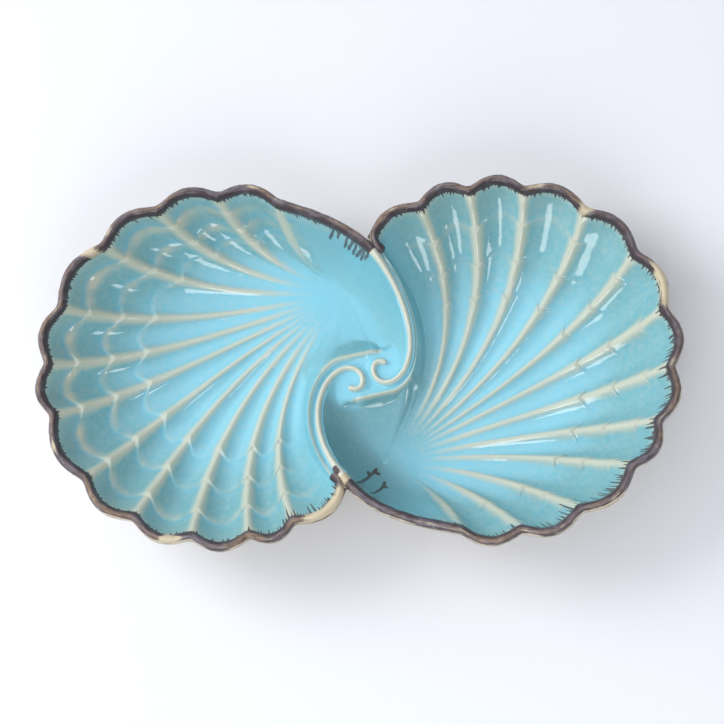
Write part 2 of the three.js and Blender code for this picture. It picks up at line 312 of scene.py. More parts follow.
PLAIN_FADE = (2.0, 15.0)
LENGTH_STEPS = 61


def scallop(share):
    wave = np.sin(np.pi * share)
    soft = SCALLOP_SOFTNESS
    return (np.sqrt(wave**2 + soft**2) - soft) / (np.sqrt(1 + soft**2) - soft)


def rib_bow(inner):
    away = inner - HINGE
    turn = np.arctan2(away[:, 1], away[:, 0]) - np.radians(STRAIGHT_RIB)
    turn = np.arctan2(np.sin(turn), np.cos(turn))
    return np.sin(turn) * np.where(turn > 0, BOW_ABOVE, BOW_BELOW)


def rim_stations(notches):
    """The rim's outer edge as angle and radius, with each station's place between two ribs."""
    bounds = [FIRST_NOTCH, *notches]
    share = np.arange(SCALLOP_LINES) / SCALLOP_LINES
    stations = []
    for k in range(len(notches)):
        arc = np.radians(bounds[k] - bounds[k + 1]) * LOBE_RADIUS
        angle = mix(bounds[k], bounds[k + 1], share)
        radius = LOBE_RADIUS + SCALLOP_DEPTH * scallop(share)
        rib = arc * ((1 - share) if k == 0 else np.minimum(share, 1 - share))
        relief = smooth(0, FIRST_RELIEF, share) if k == 0 else np.ones(SCALLOP_LINES)
        stations.append([angle, radius, rib, np.sin(np.pi * share), relief])
    angle = mix(bounds[-1], RIM_END, np.linspace(0, 1, PLAIN_LINES))
    past = bounds[-1] - angle
    radius = LOBE_RADIUS + SMOOTH_SWELL * smooth(0, SMOOTH_EASE, past)
    rib = np.radians(past) * LOBE_RADIUS
    stations.append([angle, radius, rib, np.zeros(PLAIN_LINES), 1 - smooth(*PLAIN_FADE, rib)])
    return join(stations, 1)


def bezier(a, b, c, d, share):
    s = np.asarray(share)[..., None]
    return a * (1 - s) ** 3 + 3 * b * s * (1 - s) ** 2 + 3 * c * s**2 * (1 - s) + d * s**3


def lip_bridge(share):
    """The lip leaves the other scroll and runs on below this bowl's own curl, to its tip."""
    before, start = -beside_scroll(np.array([LIP_LEAVES - 1, LIP_LEAVES]), LIP_INSET)
    ahead = LIP_START_PULL * unit(start - before)
    return bezier(start, start + ahead, LIP_TIP + LIP_TIP_PULL, LIP_TIP, share)


def land_start(turns):
    """Where the lines of the scroll's land start: a little behind, so that none crosses the last."""
    turns = turns * LAND_LAG
    return scroll_point(turns) - scroll_normal(turns) * land_half(turns)[:, None]


def lip_start(side, back):
    """Where the lines beside the other scroll start: on the lip, and then in towards the curl."""
    inset = mix(LIP_NARROW[side], LIP_INSET, smooth(*LIP_WIDENS, back))
    along = -beside_scroll(back, inset)
    passed = np.clip((back - LIP_LEAVES) / (LIP_PASSES - LIP_LEAVES), 0, 1)
    bridge = lip_bridge(BRIDGE_LINES * passed)
    turned = lip_bridge(np.array([BRIDGE_LINES]))
    left = np.clip((back - LIP_PASSES) / (SEAM_TURN - LIP_PASSES), 0, 1)
    inward = mix(turned, land_start(np.array([SEAM_TURN])), left[:, None])
    back = back[:, None]
    return np.where(back < LIP_LEAVES, along, np.where(back < LIP_PASSES, bridge, inward))


def stretch(kind, **lines):
    """A stretch of lines of one kind. A single number holds for each of them."""
    lines["kind"] = kind
    count = len(lines["outer"])
    return {key: np.full(count, float(v)) if np.ndim(v) == 0 else v for key, v in lines.items()}


def fan_points(fan, t):
    """Plan points at the shares t of each line: one row of t for each line."""
    inner = fan.inner[:, None]
    way = HINGE - inner
    side = left_of(way)
    near = inner + (way * BOW_KNEE + side * 2 * fan.bow[:, None, None]) * 2 / 3
    far = HINGE + (way * (BOW_KNEE - 1) + side * 2 * fan.end[:, None, None]) * 2 / 3
    return bezier(inner, near, far, HINGE, t)


def fan_of(side):
    """Every line of a bowl, in order round its edge: rim, land of its scroll, lip beside the other."""
    notches = NOTCHES[side]
    angle, radius, rib, flute, relief = rim_stations(notches)
    first = np.arange(len(angle)) < SCALLOP_LINES
    share = np.where(first, np.arange(len(angle)) / SCALLOP_LINES, 1.0)
    plain = smooth(notches[-1], RIM_END, angle)
    corner = np.degrees(LIP_NARROW[side] / LOBE_RADIUS) * (1 - smooth(0, CORNER_SHARE, share))
    inner = on_lobe(radius - RIM_WIDTH, angle - corner)
    bow = rib_bow(inner) * (1 - plain)
    rim = stretch(
        ON_RIM,
        outer=on_lobe(radius, angle),
        inner=inner,
        edge=EDGE_TOP,
        lip=EDGE_TOP,
        bow=np.where(first, mix(SEAM_BOW, bow, share), bow),
        end=np.where(first, mix(CORNER_END_BOW, bow, share), bow),
        fall=mix(FALL_FLUTED, FALL_STEEP, plain),
        rib=rib,
        flute=flute,
        relief=relief,
        angle=angle,
        inner_turn=0,
    )
    bare = dict(rib=FAR, flute=0, relief=0)
    closing = MIDDLE_STARTS * (np.arange(1, SEAM_LINES + 1) / SEAM_LINES) ** SEAM_CLOSER
    turns = np.linspace(MIDDLE_STARTS, SEAM_TURN, MIDDLE_LINES + 1)[1:]
    turns = join([closing, turns])
    land = stretch(
        ON_LAND,
        outer=beside_scroll(turns, 0),
        inner=land_start(turns),
        edge=seam_height(turns),
        lip=scroll_seat(turns),
        bow=0,
        end=0,
        fall=mix(FALL_STEEP, FALL_SEAM, smooth(0, FALL_TURN, turns)),
        angle=RIM_END,
        inner_turn=turns,
        **bare,
    )
    back = join([[0], turns[:-1]])[::-1]
    rise = LIP_RISE * smooth(*LIP_STARTS[side], back) * (1 - smooth(*LIP_HANDS_ON, back))
    lip = stretch(
        ON_LIP,
        outer=-beside_scroll(back, 0),
        inner=lip_start(side, back),
        edge=seam_height(back),
        lip=scroll_seat(back) + rise,
        bow=SEAM_BOW * np.exp(-back / SEAM_BOW_DECAY),
        end=SEAM_END_BOW * np.exp(-back / SEAM_END_DECAY),
        fall=mix(FALL_FLUTED, FALL_SEAM, back / SEAM_TURN),
        angle=FIRST_NOTCH,
        inner_turn=back,
        **bare,
    )
    fan = SimpleNamespace(**{name: join([rim[name], land[name], lip[name]]) for name in rim})
    step = np.linalg.norm(np.diff(fan.inner, axis=0, prepend=fan.inner[:1]), axis=1)
    fan.along = np.cumsum(step)
    shares = np.broadcast_to(np.linspace(0, 1, LENGTH_STEPS), (len(step), LENGTH_STEPS))
    fan.length = np.linalg.norm(np.diff(fan_points(fan, shares), axis=1), axis=2).sum(1)
    return fan


fans = {side: fan_of(side) for side in NOTCHES}
longest = fans["right"].length.max().round(1)
print("lines in a bowl", len(fans["right"].along), "longest", longest, "mm")

# %% [markdown]
# Along each line the bare wall falls to the floor, fast at first like a bowl's. The rows of the mesh
# lie close where the brown teeth and the growth rings need them. Below the curl the lines of the lip
# and of the land come together from two sides, so there both take the same rows and the same fall.

# %% Walls
RINGS = np.array([13.5, 32.75, 52.0]) / LONG_RIB
CLOSE_TO = 10.0
CLOSE_ROWS = 0.5
RING_SPREAD = 2.6
WIDE_ROWS = 2.05
LEAST_ROW = 0.18
LAST_ROW = 0.985
ALIGN_BLEND = (100.0, 214.0)
THROAT_BLEND = (120.0, 205.0)
CLOSEST_ROWS = 0.004


def columns(fan):
    """The fan's arrays, shaped so that each line's value holds for its whole row of points."""
    return SimpleNamespace(**{key: value[:, None] for key, value in vars(fan).items()})


def gap_to(plan, point):
    return np.hypot(plan[..., 0] - point[0], plan[..., 1] - point[1])


def line_rows():
    """Places of the rows along the longest rib: close at the rim and at each ring."""
    rows = [np.arange(0, CLOSE_TO, CLOSE_ROWS)]
    rows += [ring + np.arange(-RING_SPREAD, RING_SPREAD, CLOSE_ROWS) for ring in RINGS * LONG_RIB]
    rows.append(np.arange(CLOSE_TO + CLOSE_ROWS, LAST_ROW * LONG_RIB, WIDE_ROWS))
    rows = np.sort(join(rows))
    return rows[join([[True], np.diff(rows) > LEAST_ROW])] / LONG_RIB


def falling(fan, t):
    """How far the bare wall stands above the floor, and its slope along the line."""
    line = columns(fan)
    end = np.exp(-1 / line.fall)
    above = (line.lip - FLOOR_TOP) * (np.exp(-t / line.fall) - end) / (1 - end)
    return above, above / (line.fall * line.length)


def last_land_line(fan):
    return np.nonzero(fan.kind == ON_LAND)[0][-1]


def aligned(fan, t):
    """Below the curl, sets rows as far from the hinge as those of the land's last line."""
    chord = np.linalg.norm(fan.inner - HINGE, axis=1)[:, None]
    slow = 2 * BOW_KNEE
    last = last_land_line(fan)
    away = chord[last] * (1 - slow * t[last] - (1 - slow) * t[last] ** 2)
    away = np.minimum(away, chord - CLOSEST_ROWS * np.arange(t.shape[1]))
    gone = 1 - away / chord
    level = (np.sqrt(slow**2 + 4 * (1 - slow) * gone) - slow) / (2 * (1 - slow))
    share = (fan.kind == ON_LIP) * smooth(*ALIGN_BLEND, fan.inner_turn)
    return mix(t, level, share[:, None])


def with_throat(fan, plan, above):
    """Gives the lines below the curl the fall of the land's last line, so that no crease runs between."""
    away = gap_to(plan, HINGE)
    last = last_land_line(fan)
    shared = np.interp(away, away[last][::-1], above[last][::-1])
    share = (fan.kind == ON_LIP) * smooth(*THROAT_BLEND, fan.inner_turn)
    return mix(above, shared, share[:, None])


print("rows down the longest rib", len(line_rows()))

# %% [markdown]
# The two curls lie on raised ground in the middle of the dish. On the bowl's side it is edged by the
# lip, which stands up as a thin crest and falls into the bowl as a hollow wall. Both are heights over
# the plan, so the lines of the fan need not follow them.

# %% Raised ground of the curls
PLATEAU_EDGE = 9.2
PLATEAU_SLOPE = 8.0
PLATEAU_FOOT = FLOOR_TOP - 4.0
PLATEAU_SOFT = 0.15
THROAT_SLOPE = 30.0
THROAT_SIDE = (86.0, 116.0)
NEAR_CURL = 60.0
LIP_LINE_STARTS = 105.0
LIP_LINE_STEPS = 90
LIP_TIP_TOP = FLOOR_TOP + 0.5
LIP_TIP_FADE = 9.0
LIP_WALL = {"right": 20.0, "left": 16.0}
LIP_WALL_GROWS = 18.0
LIP_WALL_LEAST = 0.03
LIP_WALL_FOOT = FLOOR_TOP - 0.5
LIP_HOLLOW = {"right": 3.0, "left": 1.5}
LIP_HOLLOW_SOFT = 0.004
LIP_BACK = 1.3
LIP_BACK_FALLS = (4.0, 9.0)
LIP_STANDS = FLOOR_TOP + 1.0
RIDGE_HALF = 1.1
BAY = (6.0, 9.0)


def soft_max(a, b, soft):
    """The greater of two, with the corner between them rounded."""
    return (a + b + np.sqrt((a - b) ** 2 + soft)) / 2


def lip_line(bowl):
    """The lip near the middle as closely spaced points, with the height of its crest."""
    turns = np.linspace(LIP_LINE_STARTS, LIP_LEAVES, LIP_LINE_STEPS)
    bridge = lip_bridge(np.linspace(0, 1, LIP_LINE_STEPS))[1:]
    line = join([-beside_scroll(turns, LIP_INSET), bridge])
    seat = join([scroll_seat(turns), np.full(len(bridge), scroll_seat(LIP_LEAVES))])
    to_tip = np.linalg.norm(line - LIP_TIP, axis=1)
    crest = mix(LIP_TIP_TOP, seat + LIP_RISE, smooth(0, LIP_TIP_FADE, to_tip))
    width = LIP_WALL[bowl] * np.sqrt(np.clip(to_tip / LIP_WALL_GROWS, LIP_WALL_LEAST, 1))
    return line, crest, width


def with_plateau(bowl, plan, z, dip):
    """Raises the ground round the curl, and the wall and lip that edge it on the bowl's side."""
    away = plan - CURL
    distance = gap_to(plan, CURL)
    throat = smooth(*THROAT_SIDE, -np.degrees(np.arctan2(away[..., 1], away[..., 0])))
    slope = mix(PLATEAU_SLOPE, THROAT_SLOPE, throat)
    near = 1 - smooth(0, 1, (distance - PLATEAU_EDGE) / slope)
    ground = mix(PLATEAU_FOOT, PLATEAU_TOP, near) - dip
    line, crest, width = lip_line(bowl)
    ahead = np.gradient(line, axis=0)
    row = np.arange(plan.shape[1])
    gap = np.full(plan.shape[:2], FAR)
    place = np.zeros(plan.shape[:2])
    side = np.ones(plan.shape[:2])
    for k in np.nonzero(np.min(distance, axis=1) < NEAR_CURL)[0]:
        off = plan[k][:, None] - line[None]
        nearest = np.argmin((off**2).sum(2), axis=1)
        off = off[row, nearest]
        way = ahead[nearest]
        further = (off * way).sum(1) / (way**2).sum(1)
        place[k] = np.clip(nearest + np.clip(further, -1, 1), 0, len(line) - 1)
        off = off - way * (place[k] - nearest)[:, None]
        gap[k] = np.hypot(off[:, 0], off[:, 1])
        side[k] = way[:, 0] * off[:, 1] - way[:, 1] * off[:, 0]
    top = np.interp(place, np.arange(len(line)), crest)
    slant = 1 - gap / np.interp(place, np.arange(len(line)), width)
    slant = soft_max(slant, 0, LIP_HOLLOW_SOFT) ** LIP_HOLLOW[bowl]
    fall = np.where(side > 0, np.minimum(slant, 1), bell(gap, LIP_BACK))
    level = np.minimum(PLATEAU_TOP, top) - dip
    behind = mix(level, PLATEAU_FOOT, smooth(*LIP_BACK_FALLS, gap))
    foot = np.where(side > 0, LIP_WALL_FOOT, behind)
    height = np.maximum(ground, mix(foot, np.maximum(top, level), fall))
    stands = smooth(LIP_STANDS, PLATEAU_TOP, top)
    ridge = stands * bell(gap, RIDGE_HALF)
    bay = stands * (side < 0) * (1 - smooth(*BAY, gap))
    return soft_max(z, height, PLATEAU_SOFT), ridge, bay


print("points on a lip near the middle", len(lip_line("right")[0]))

# %% [markdown]
# On the wall lie the ribs, the hollow flutes between them, and three growth rings. A shell grows in
# layers like roof tiles, so each ring is a small rounded step that faces the rim, bows out between
# two ribs, and makes the ribs look jointed. The rows of the mesh follow the rings, because a row that
# cut across a step would make it ragged. The same measures say where the glaze breaks, pools or dulls,
# and where shade is painted in.

# %% Relief of the inside
RING_LAG = 0.036
LAG_ANGLES = (70.0, 118.0)
RING_BULGE = 3.6
RING_STEP = 1.0
RING_TAIL = 10.0
RING_ROUND = 1.9
RING_DIES = 20.0
RING_LEVEL = {"right": 0.28, "left": 0.75}
RIB_HEIGHT = 1.6
RIB_LEVELS = (0.75, 0.75)
RIB_HALF = 3.4
RIB_WIDTHS = (0.66, 0.52)
RIB_FLATNESS = 2.6
RIB_TAPER = 0.3
RIB_TILE = 16.0
RIB_JOINT = (-0.8, 0.9)
RIB_START = 4.0
RIB_DIES = (18.0, 84.0)
FLUTE_DEPTH = 1.3
CREST_AT = 1.4
CREST_HALF = 2.6
CREST_LEVELS = (0.8, 0.4)
CREST_PITCH = 31
CREST_SEED = 7
CREST_FADES = 0.34
POOL_AT = -1.9
POOL_HALF = 1.6
CREAM_DIES = (12.0, 46.0)
CREAM_WIDTH = 1.1
CREAM_FLARE = (0.9, 2.2)
RING_CREAM_STARTS = (2.0, 7.0)
RING_CREAM = {
    "right": ([-141, 30, 70, 116, 137], [0.06, 0.08, 0.25, 0.35, 0.15]),
    "left": ([-141, -100, -70, 20, 60, 137], [0.32, 0.52, 0.85, 0.8, 0.46, 0.32]),
}
VEIL = 0.08
FOOT_CREAM = (0.4, 2.2)
# The right bowl's lip gets less cream than the left's, partly as painted shade.
LIP_CREAM = {"right": 0.25, "left": 0.7}
LIP_CREAM_LAST = 0.9
LIP_CREAM_GROWS = (70.0, 130.0)
LIP_CREAM_HALF = 1.3
# Greying near the rim at each angle round the bowl, strongest on walls that face away from the key light:
# partly painted shade.
GREY_AND_SHADE = {
    "right": ([-141, 10, 60, 110, 137], [0.15, 0.12, 0.25, 0.3, 0.2]),
    "left": ([-141, -110, -90, 40, 70, 137], [0.1, 0.3, 0.5, 0.45, 0.25, 0.2]),
}
GREY_FADES = (2.0, 22.0)
GREY_STARTS = RIM_END + 22
GREY_STOPS = 120.0
# A darker teal painted beside the scroll as the shadow of the scroll and seam wall, strong in the right
# bowl.
PAINTED_SHADOW = {"right": 1.0, "left": 0.2}
PAINTED_SHADOW_FADE = (8.0, 54.0)
PAINTED_SHADOW_STARTS = 4.0
PAINTED_SHADOW_POINTS = (60, 20)
CURL_CLEAR = (9.0, 17.0)
TEETH_SCALE = 1.25
NO_RIM = 60.0


def with_height(plan, z):
    return join([plan, z[..., None]], -1)


def seam_distance(plan):
    """Distance from the bowl's own scroll and from the lip below its curl."""
    scroll = scroll_point(np.linspace(PAINTED_SHADOW_STARTS, SEAM_TURN, PAINTED_SHADOW_POINTS[0]))
    gap = np.full(plan.shape[:2], FAR)
    for point in [*scroll, *lip_bridge(np.linspace(0, 1, PAINTED_SHADOW_POINTS[1]))]:
        gap = np.minimum(gap, gap_to(plan, point))
    return gap


def ring_marks(fan, t, rings):
    """What the rings make: their layers, the joints of the ribs, worn crests, and pools before them."""
    layer, tile, crest, pooled = np.zeros((4, *t.shape))
    for i in range(len(RINGS)):
        past = (t - rings[:, i : i + 1]) * fan.length[:, None]
        inside = np.maximum(past, 0)
        layer += smooth(-RING_ROUND, RING_ROUND, past) * np.exp(-inside / RING_TAIL)
        tile = np.maximum(tile, smooth(*RIB_JOINT, past) * np.exp(-inside / RIB_TILE))
        uneven = wobble(fan.along, CREST_PITCH, CREST_SEED + i)[:, None]
        faint = (CREST_LEVELS[0] + CREST_LEVELS[1] * uneven) * (1 - CREST_FADES * i)
        crest = np.maximum(crest, faint * bell(past - CREST_AT, CREST_HALF))
        pooled = np.maximum(pooled, bell(past - POOL_AT, POOL_HALF))
    return layer, tile, crest, pooled


def lip_cream(side, fan):
    """How far the lip is worn to cream on each line that starts on it; on the right bowl less, partly as
    painted shade.
    """
    worn = mix(LIP_CREAM[side], LIP_CREAM_LAST, smooth(*LIP_CREAM_GROWS, fan.inner_turn))
    return (worn * (fan.kind == ON_LIP) * (fan.inner_turn < LIP_LEAVES))[:, None]


def inside_of(side, fan):
    """Points of a bowl's inside and what the glaze needs to know there."""
    line = columns(fan)
    lag = RING_LAG * smooth(*LAG_ANGLES, line.angle)
    rings = RINGS[None] + lag - RING_BULGE * line.flute / line.length
    anchors = join([[0], RINGS, [1]])
    rows = line_rows()
    t = np.stack([np.interp(rows, anchors, join([[0], r, [1]])) for r in rings])
    t = aligned(fan, t)
    plan = fan_points(fan, t)
    from_edge = t * line.length
    to_hinge = (1 - t) * line.length
    layer, tile, crest, pooled = ring_marks(fan, t, rings)

    off = line.rib * (1 - t)
    half = RIB_HALF * (1 - RIB_TAPER * t) * (RIB_WIDTHS[0] + RIB_WIDTHS[1] * tile)
    rib = bell(off, half, RIB_FLATNESS)
    height = RIB_HEIGHT * (RIB_LEVELS[0] + RIB_LEVELS[1] * layer) * rib - FLUTE_DEPTH * line.flute ** 2
    height = height * smooth(0, RIB_START, from_edge) * smooth(*RIB_DIES, to_hinge)
    step = RING_STEP * RING_LEVEL[side] * smooth(0, RING_DIES, to_hinge)
    height = line.relief * (height + step * layer)
    above = with_throat(fan, plan, falling(fan, t)[0])
    z, ridge, bay = with_plateau(side, plan, FLOOR_TOP + above, 0.0)

    worn = line.relief * smooth(*CREAM_DIES, to_hinge)
    flare = 1 + CREAM_FLARE[0] * np.exp(-from_edge / CREAM_FLARE[1])
    cream_rib = worn * bell(off, CREAM_WIDTH * half * flare, RIB_FLATNESS)
    cream_ring = np.interp(line.angle, *RING_CREAM[side]) * line.relief * crest
    cream_ring = cream_ring * smooth(*RING_CREAM_STARTS, from_edge)
    cream_lip = lip_cream(side, fan) * bell(from_edge, LIP_CREAM_HALF)
    on_rim = line.kind == ON_RIM
    cream_foot = FOOT_CREAM[0] * on_rim * bell(from_edge, FOOT_CREAM[1])
    # Greyed near the rim, most on the walls in shade: partly painted shade.
    grey_and_shade = on_rim * np.interp(line.angle, *GREY_AND_SHADE[side]) * (1 - smooth(*GREY_FADES, from_edge))
    grey_and_shade = grey_and_shade * smooth(RIM_END, GREY_STARTS, line.angle)
    # Painted shadow beside the scroll, fading with the distance from it.
    painted_shadow = PAINTED_SHADOW[side] * (1 - smooth(*PAINTED_SHADOW_FADE, seam_distance(plan)))
    return SimpleNamespace(
        points=with_height(plan, z + height),
        base=with_height(plan, z),
        start=FLOOR_TOP + above[:, 0],
        bay=bay,
        thin=np.maximum.reduce([cream_rib, cream_ring, cream_lip, ridge, cream_foot, VEIL * worn]),
        pool=RING_LEVEL[side] * line.relief * pooled * (1 - rib),
        grey_and_shade=grey_and_shade * (1 - smooth(GREY_STOPS, FIRST_NOTCH, line.angle)),
        painted_shadow=painted_shadow * smooth(*CURL_CLEAR, gap_to(plan, CURL)),
        rim_mm=np.where(on_rim, from_edge * TEETH_SCALE, NO_RIM),
    )


insides = {side: inside_of(side, fan) for side, fan in fans.items()}
print("points inside a bowl", insides["right"].painted_shadow.size)

# %% [markdown]
# The skin is closed with rows over the land, an underside a wall's thickness below, and a hinge point
# at each middle. The land dips towards the seam and runs on a little below its neighbour, so that the
# two bowls meet in a clean groove with no edge standing open.

# %% Closed skin of a bowl
LAND_ROWS = 9
LAND_RISES = 0.5
TUCK_UNDER = 0.9
TUCK_BELOW = 1.3
RIM_TUCK_IN = 0.2
RIM_TUCK_BELOW = 0.8
OUTSIDE_ROWS = np.array([0, 0.02, 0.05, 0.09, 0.14, 0.2, 0.27, 0.35, 0.44, 0.54, 0.65, 0.77, 0.89])
UNDER_GROOVE = 0.9
UNDER_STARTS = 0.05
UNDER_DIES = (0.3, 0.6)
UNDER_SOFT = 1.0
MIDDLE_SHIFT = 2.7
MIDDLE_REACH = 34.0


def land_rows(side, fan, start):
    """Rows over the land, from the hidden edge below the neighbour to the start of the wall."""
    line = columns(fan)
    share = np.linspace(0, 1, LAND_ROWS)[None]
    rise = np.where(line.kind == ON_LAND, smooth(0, LAND_RISES, share), smooth(0, 1, share))
    plan = mix(line.outer, line.inner, share[..., None])
    z = mix(line.edge, start[:, None], rise)
    raised, ridge, _ = with_plateau(side, plan, z, GROOVE_DEPTH * (1 - rise))
    seam = fan.kind != ON_RIM
    z = np.where(seam[:, None], raised, z)
    out = unit(fan.outer - fan.inner) * np.where(seam, TUCK_UNDER, -RIM_TUCK_IN)[:, None]
    low = fan.edge - np.where(seam, TUCK_BELOW, RIM_TUCK_BELOW)
    hidden = with_height(fan.outer + out, low)[:, None]
    ridge = join([ridge[:, :1], ridge], 1) * (line.inner_turn >= LIP_LEAVES)
    return join([hidden, with_height(plan, z)], 1), ridge


def outside_of(fan):
    """The underside: the bare wall, lowered by its thickness, down to the flat of the floor."""
    line = columns(fan)
    t = np.broadcast_to(OUTSIDE_ROWS, (len(fan.along), len(OUTSIDE_ROWS)))
    above, slope = falling(fan, t)
    drop = np.maximum(LEAST_DROP, WALL * np.hypot(1, slope))
    groove = bell(line.rib * (1 - t), RIB_HALF) * smooth(0, UNDER_STARTS, t)
    lift = UNDER_GROOVE * groove * line.relief * (1 - smooth(*UNDER_DIES, t))
    z = soft_max(FLOOR_TOP + above - drop + lift, FLOOR_BOTTOM, UNDER_SOFT)
    top = with_height(fan.outer, np.maximum(FLOOR_BOTTOM, fan.edge - EDGE_THICKNESS))
    return join([top[:, None], with_height(fan_points(fan, t), z)], 1)


def steepness(points):
    """Slope of a grid of points that is closed round its lines."""
    inward = np.gradient(points, axis=1)
    around = np.roll(points, -1, 0) - np.roll(points, 1, 0)
    normal = np.cross(inward, around)
    flat = np.maximum(np.abs(normal[..., 2]), 1e-6)
    return np.hypot(normal[..., 0], normal[..., 1]) / flat


def quads(*corners):
    return np.stack(corners, -1).reshape(-1, 4)


def ring_faces(start, lines, rows, flip):
    """Quads of a grid of points that is closed round its lines."""
    index = start + np.arange(lines * rows).reshape(lines, rows)
    after = np.roll(index, -1, 0)
    faces = quads(index[:, :-1], index[:, 1:], after[:, 1:], after[:, :-1])
    return faces[:, ::-1] if flip else faces


def hub_faces(index, hub, flip):
    """Triangles from the last row of a grid to a single point."""
    faces = np.stack([index, np.full_like(index, hub), np.roll(index, -1)], 1)
    return faces[:, ::-1] if flip else faces


def add_piece(name, points, faces, materials, slots=None, values=None):
    """A mesh object from points in mm, with one float attribute for each named value."""
    mesh = bpy.data.meshes.new(name)
    mesh.from_pydata((np.asarray(points) * MM).tolist(), [], [list(map(int, f)) for f in faces])
    for key, value in (values or {}).items():
        attribute = mesh.attributes.new(key, "FLOAT", "POINT")
        attribute.data.foreach_set("value", np.asarray(value, np.float32).ravel())
    for material in materials:
        mesh.materials.append(material)
    if slots is not None:
        mesh.polygons.foreach_set("material_index", np.asarray(slots, np.int32))
    mesh.polygons.foreach_set("use_smooth", np.ones(len(mesh.polygons), bool))
    mesh.update()
    return add_object(name, mesh)


def dress(piece, node, sharp):
    """Keeps edges sharp above an angle, and puts the piece in the place of its solid."""
    piece.data.set_sharp_from_angle(angle=np.radians(sharp))
    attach(piece, "root")
    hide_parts(node)
    return piece


def half_turn(points, side):
    """Turns the left bowl half a turn, and sets the middle a little to the right, as it was made."""
    points = points.reshape(-1, 3)
    turned = points * np.array([-1, -1, 1]) if side == "left" else points.copy()
    turned[:, 0] += MIDDLE_SHIFT * bell(np.hypot(turned[:, 0], turned[:, 1]), MIDDLE_REACH)
    return turned


print("land rows", LAND_ROWS + 1, "underside rows", len(OUTSIDE_ROWS) + 1)

# %% [markdown]
# Colours are written as sRGB hex values and turned to linear once. One small function adds a shader
# node, sets it and links it, so a material reads from top to bottom like a recipe. A finish is laid on
# as a potter does it: coats over a ground, each with a share that says where it shows.

# %% Colour and node helpers
MIX_RESULT = 2
MIX_A = 6
MIX_B = 7
GLAZE_IOR = 1.52


def linear(code):
    """An sRGB hex colour as linear RGBA."""
    rgb = np.array([int(code[i : i + 2], 16) for i in (1, 3, 5)]) / 255
    rgb = np.where(rgb <= 0.04045, rgb / 12.92, ((rgb + 0.055) / 1.055) ** 2.4)
    return (*rgb.tolist(), 1.0)


def new_material(name):
    material = bpy.data.materials.new(name)
    material.use_nodes = True
    material.node_tree.nodes.clear()
    return material, material.node_tree


def add(tree, kind, inputs=(), out=0, **settings):
    """Adds a node, with settings, and inputs in order or by name, as values or as sockets to link."""
    made = tree.nodes.new("ShaderNode" + kind)
    for key, value in settings.items():
        setattr(made, key, value)
    for key, value in inputs.items() if isinstance(inputs, dict) else enumerate(inputs):
        if isinstance(value, bpy.types.NodeSocket):
            tree.links.new(value, made.inputs[key])
        else:
            made.inputs[key].default_value = value
    return made.outputs[out] if len(made.outputs) else None


def ragged(tree, value, noise, amount, low, high, top=1.0):
    """A share that grows as a value goes from low to high, with noise added to make its edge ragged."""
    rough = add(tree, "Math", [noise, amount, value], operation="MULTIPLY_ADD")
    # A MapRange takes, in order, a value, the range it comes from and the range it goes to.
    return add(tree, "MapRange", [rough, low, high, 0, top])


def lay_coats(tree, ground, coats, surface):
    """Ends a material: coats over a ground, each by its share, on a surface with these settings."""
    colour = linear(ground)
    for share, code in coats:
        layer = {0: share, MIX_A: colour, MIX_B: linear(code)}
        colour = add(tree, "Mix", layer, MIX_RESULT, data_type="RGBA")
    shader = add(tree, "BsdfPrincipled", {"Base Color": colour, **surface})
    add(tree, "OutputMaterial", {"Surface": shader})


print("sky blue in linear", [round(v, 3) for v in linear("#89D1E6")])

# %% [markdown]
# The body is turquoise glaze over pale earthenware. The glaze is glass: glossy and a little deep. It
# runs off raised edges while it melts, so ribs, rings and lips break to cream, and it pools bluer
# below each ring. Attributes of the mesh say where it is thin or pooled, and noise roughens that.
# The brown of the rim was brushed on and ran: a ragged edge of teeth and whiskers, drawn as a
# length that changes along the rim.

# %% Turquoise glaze over earthenware


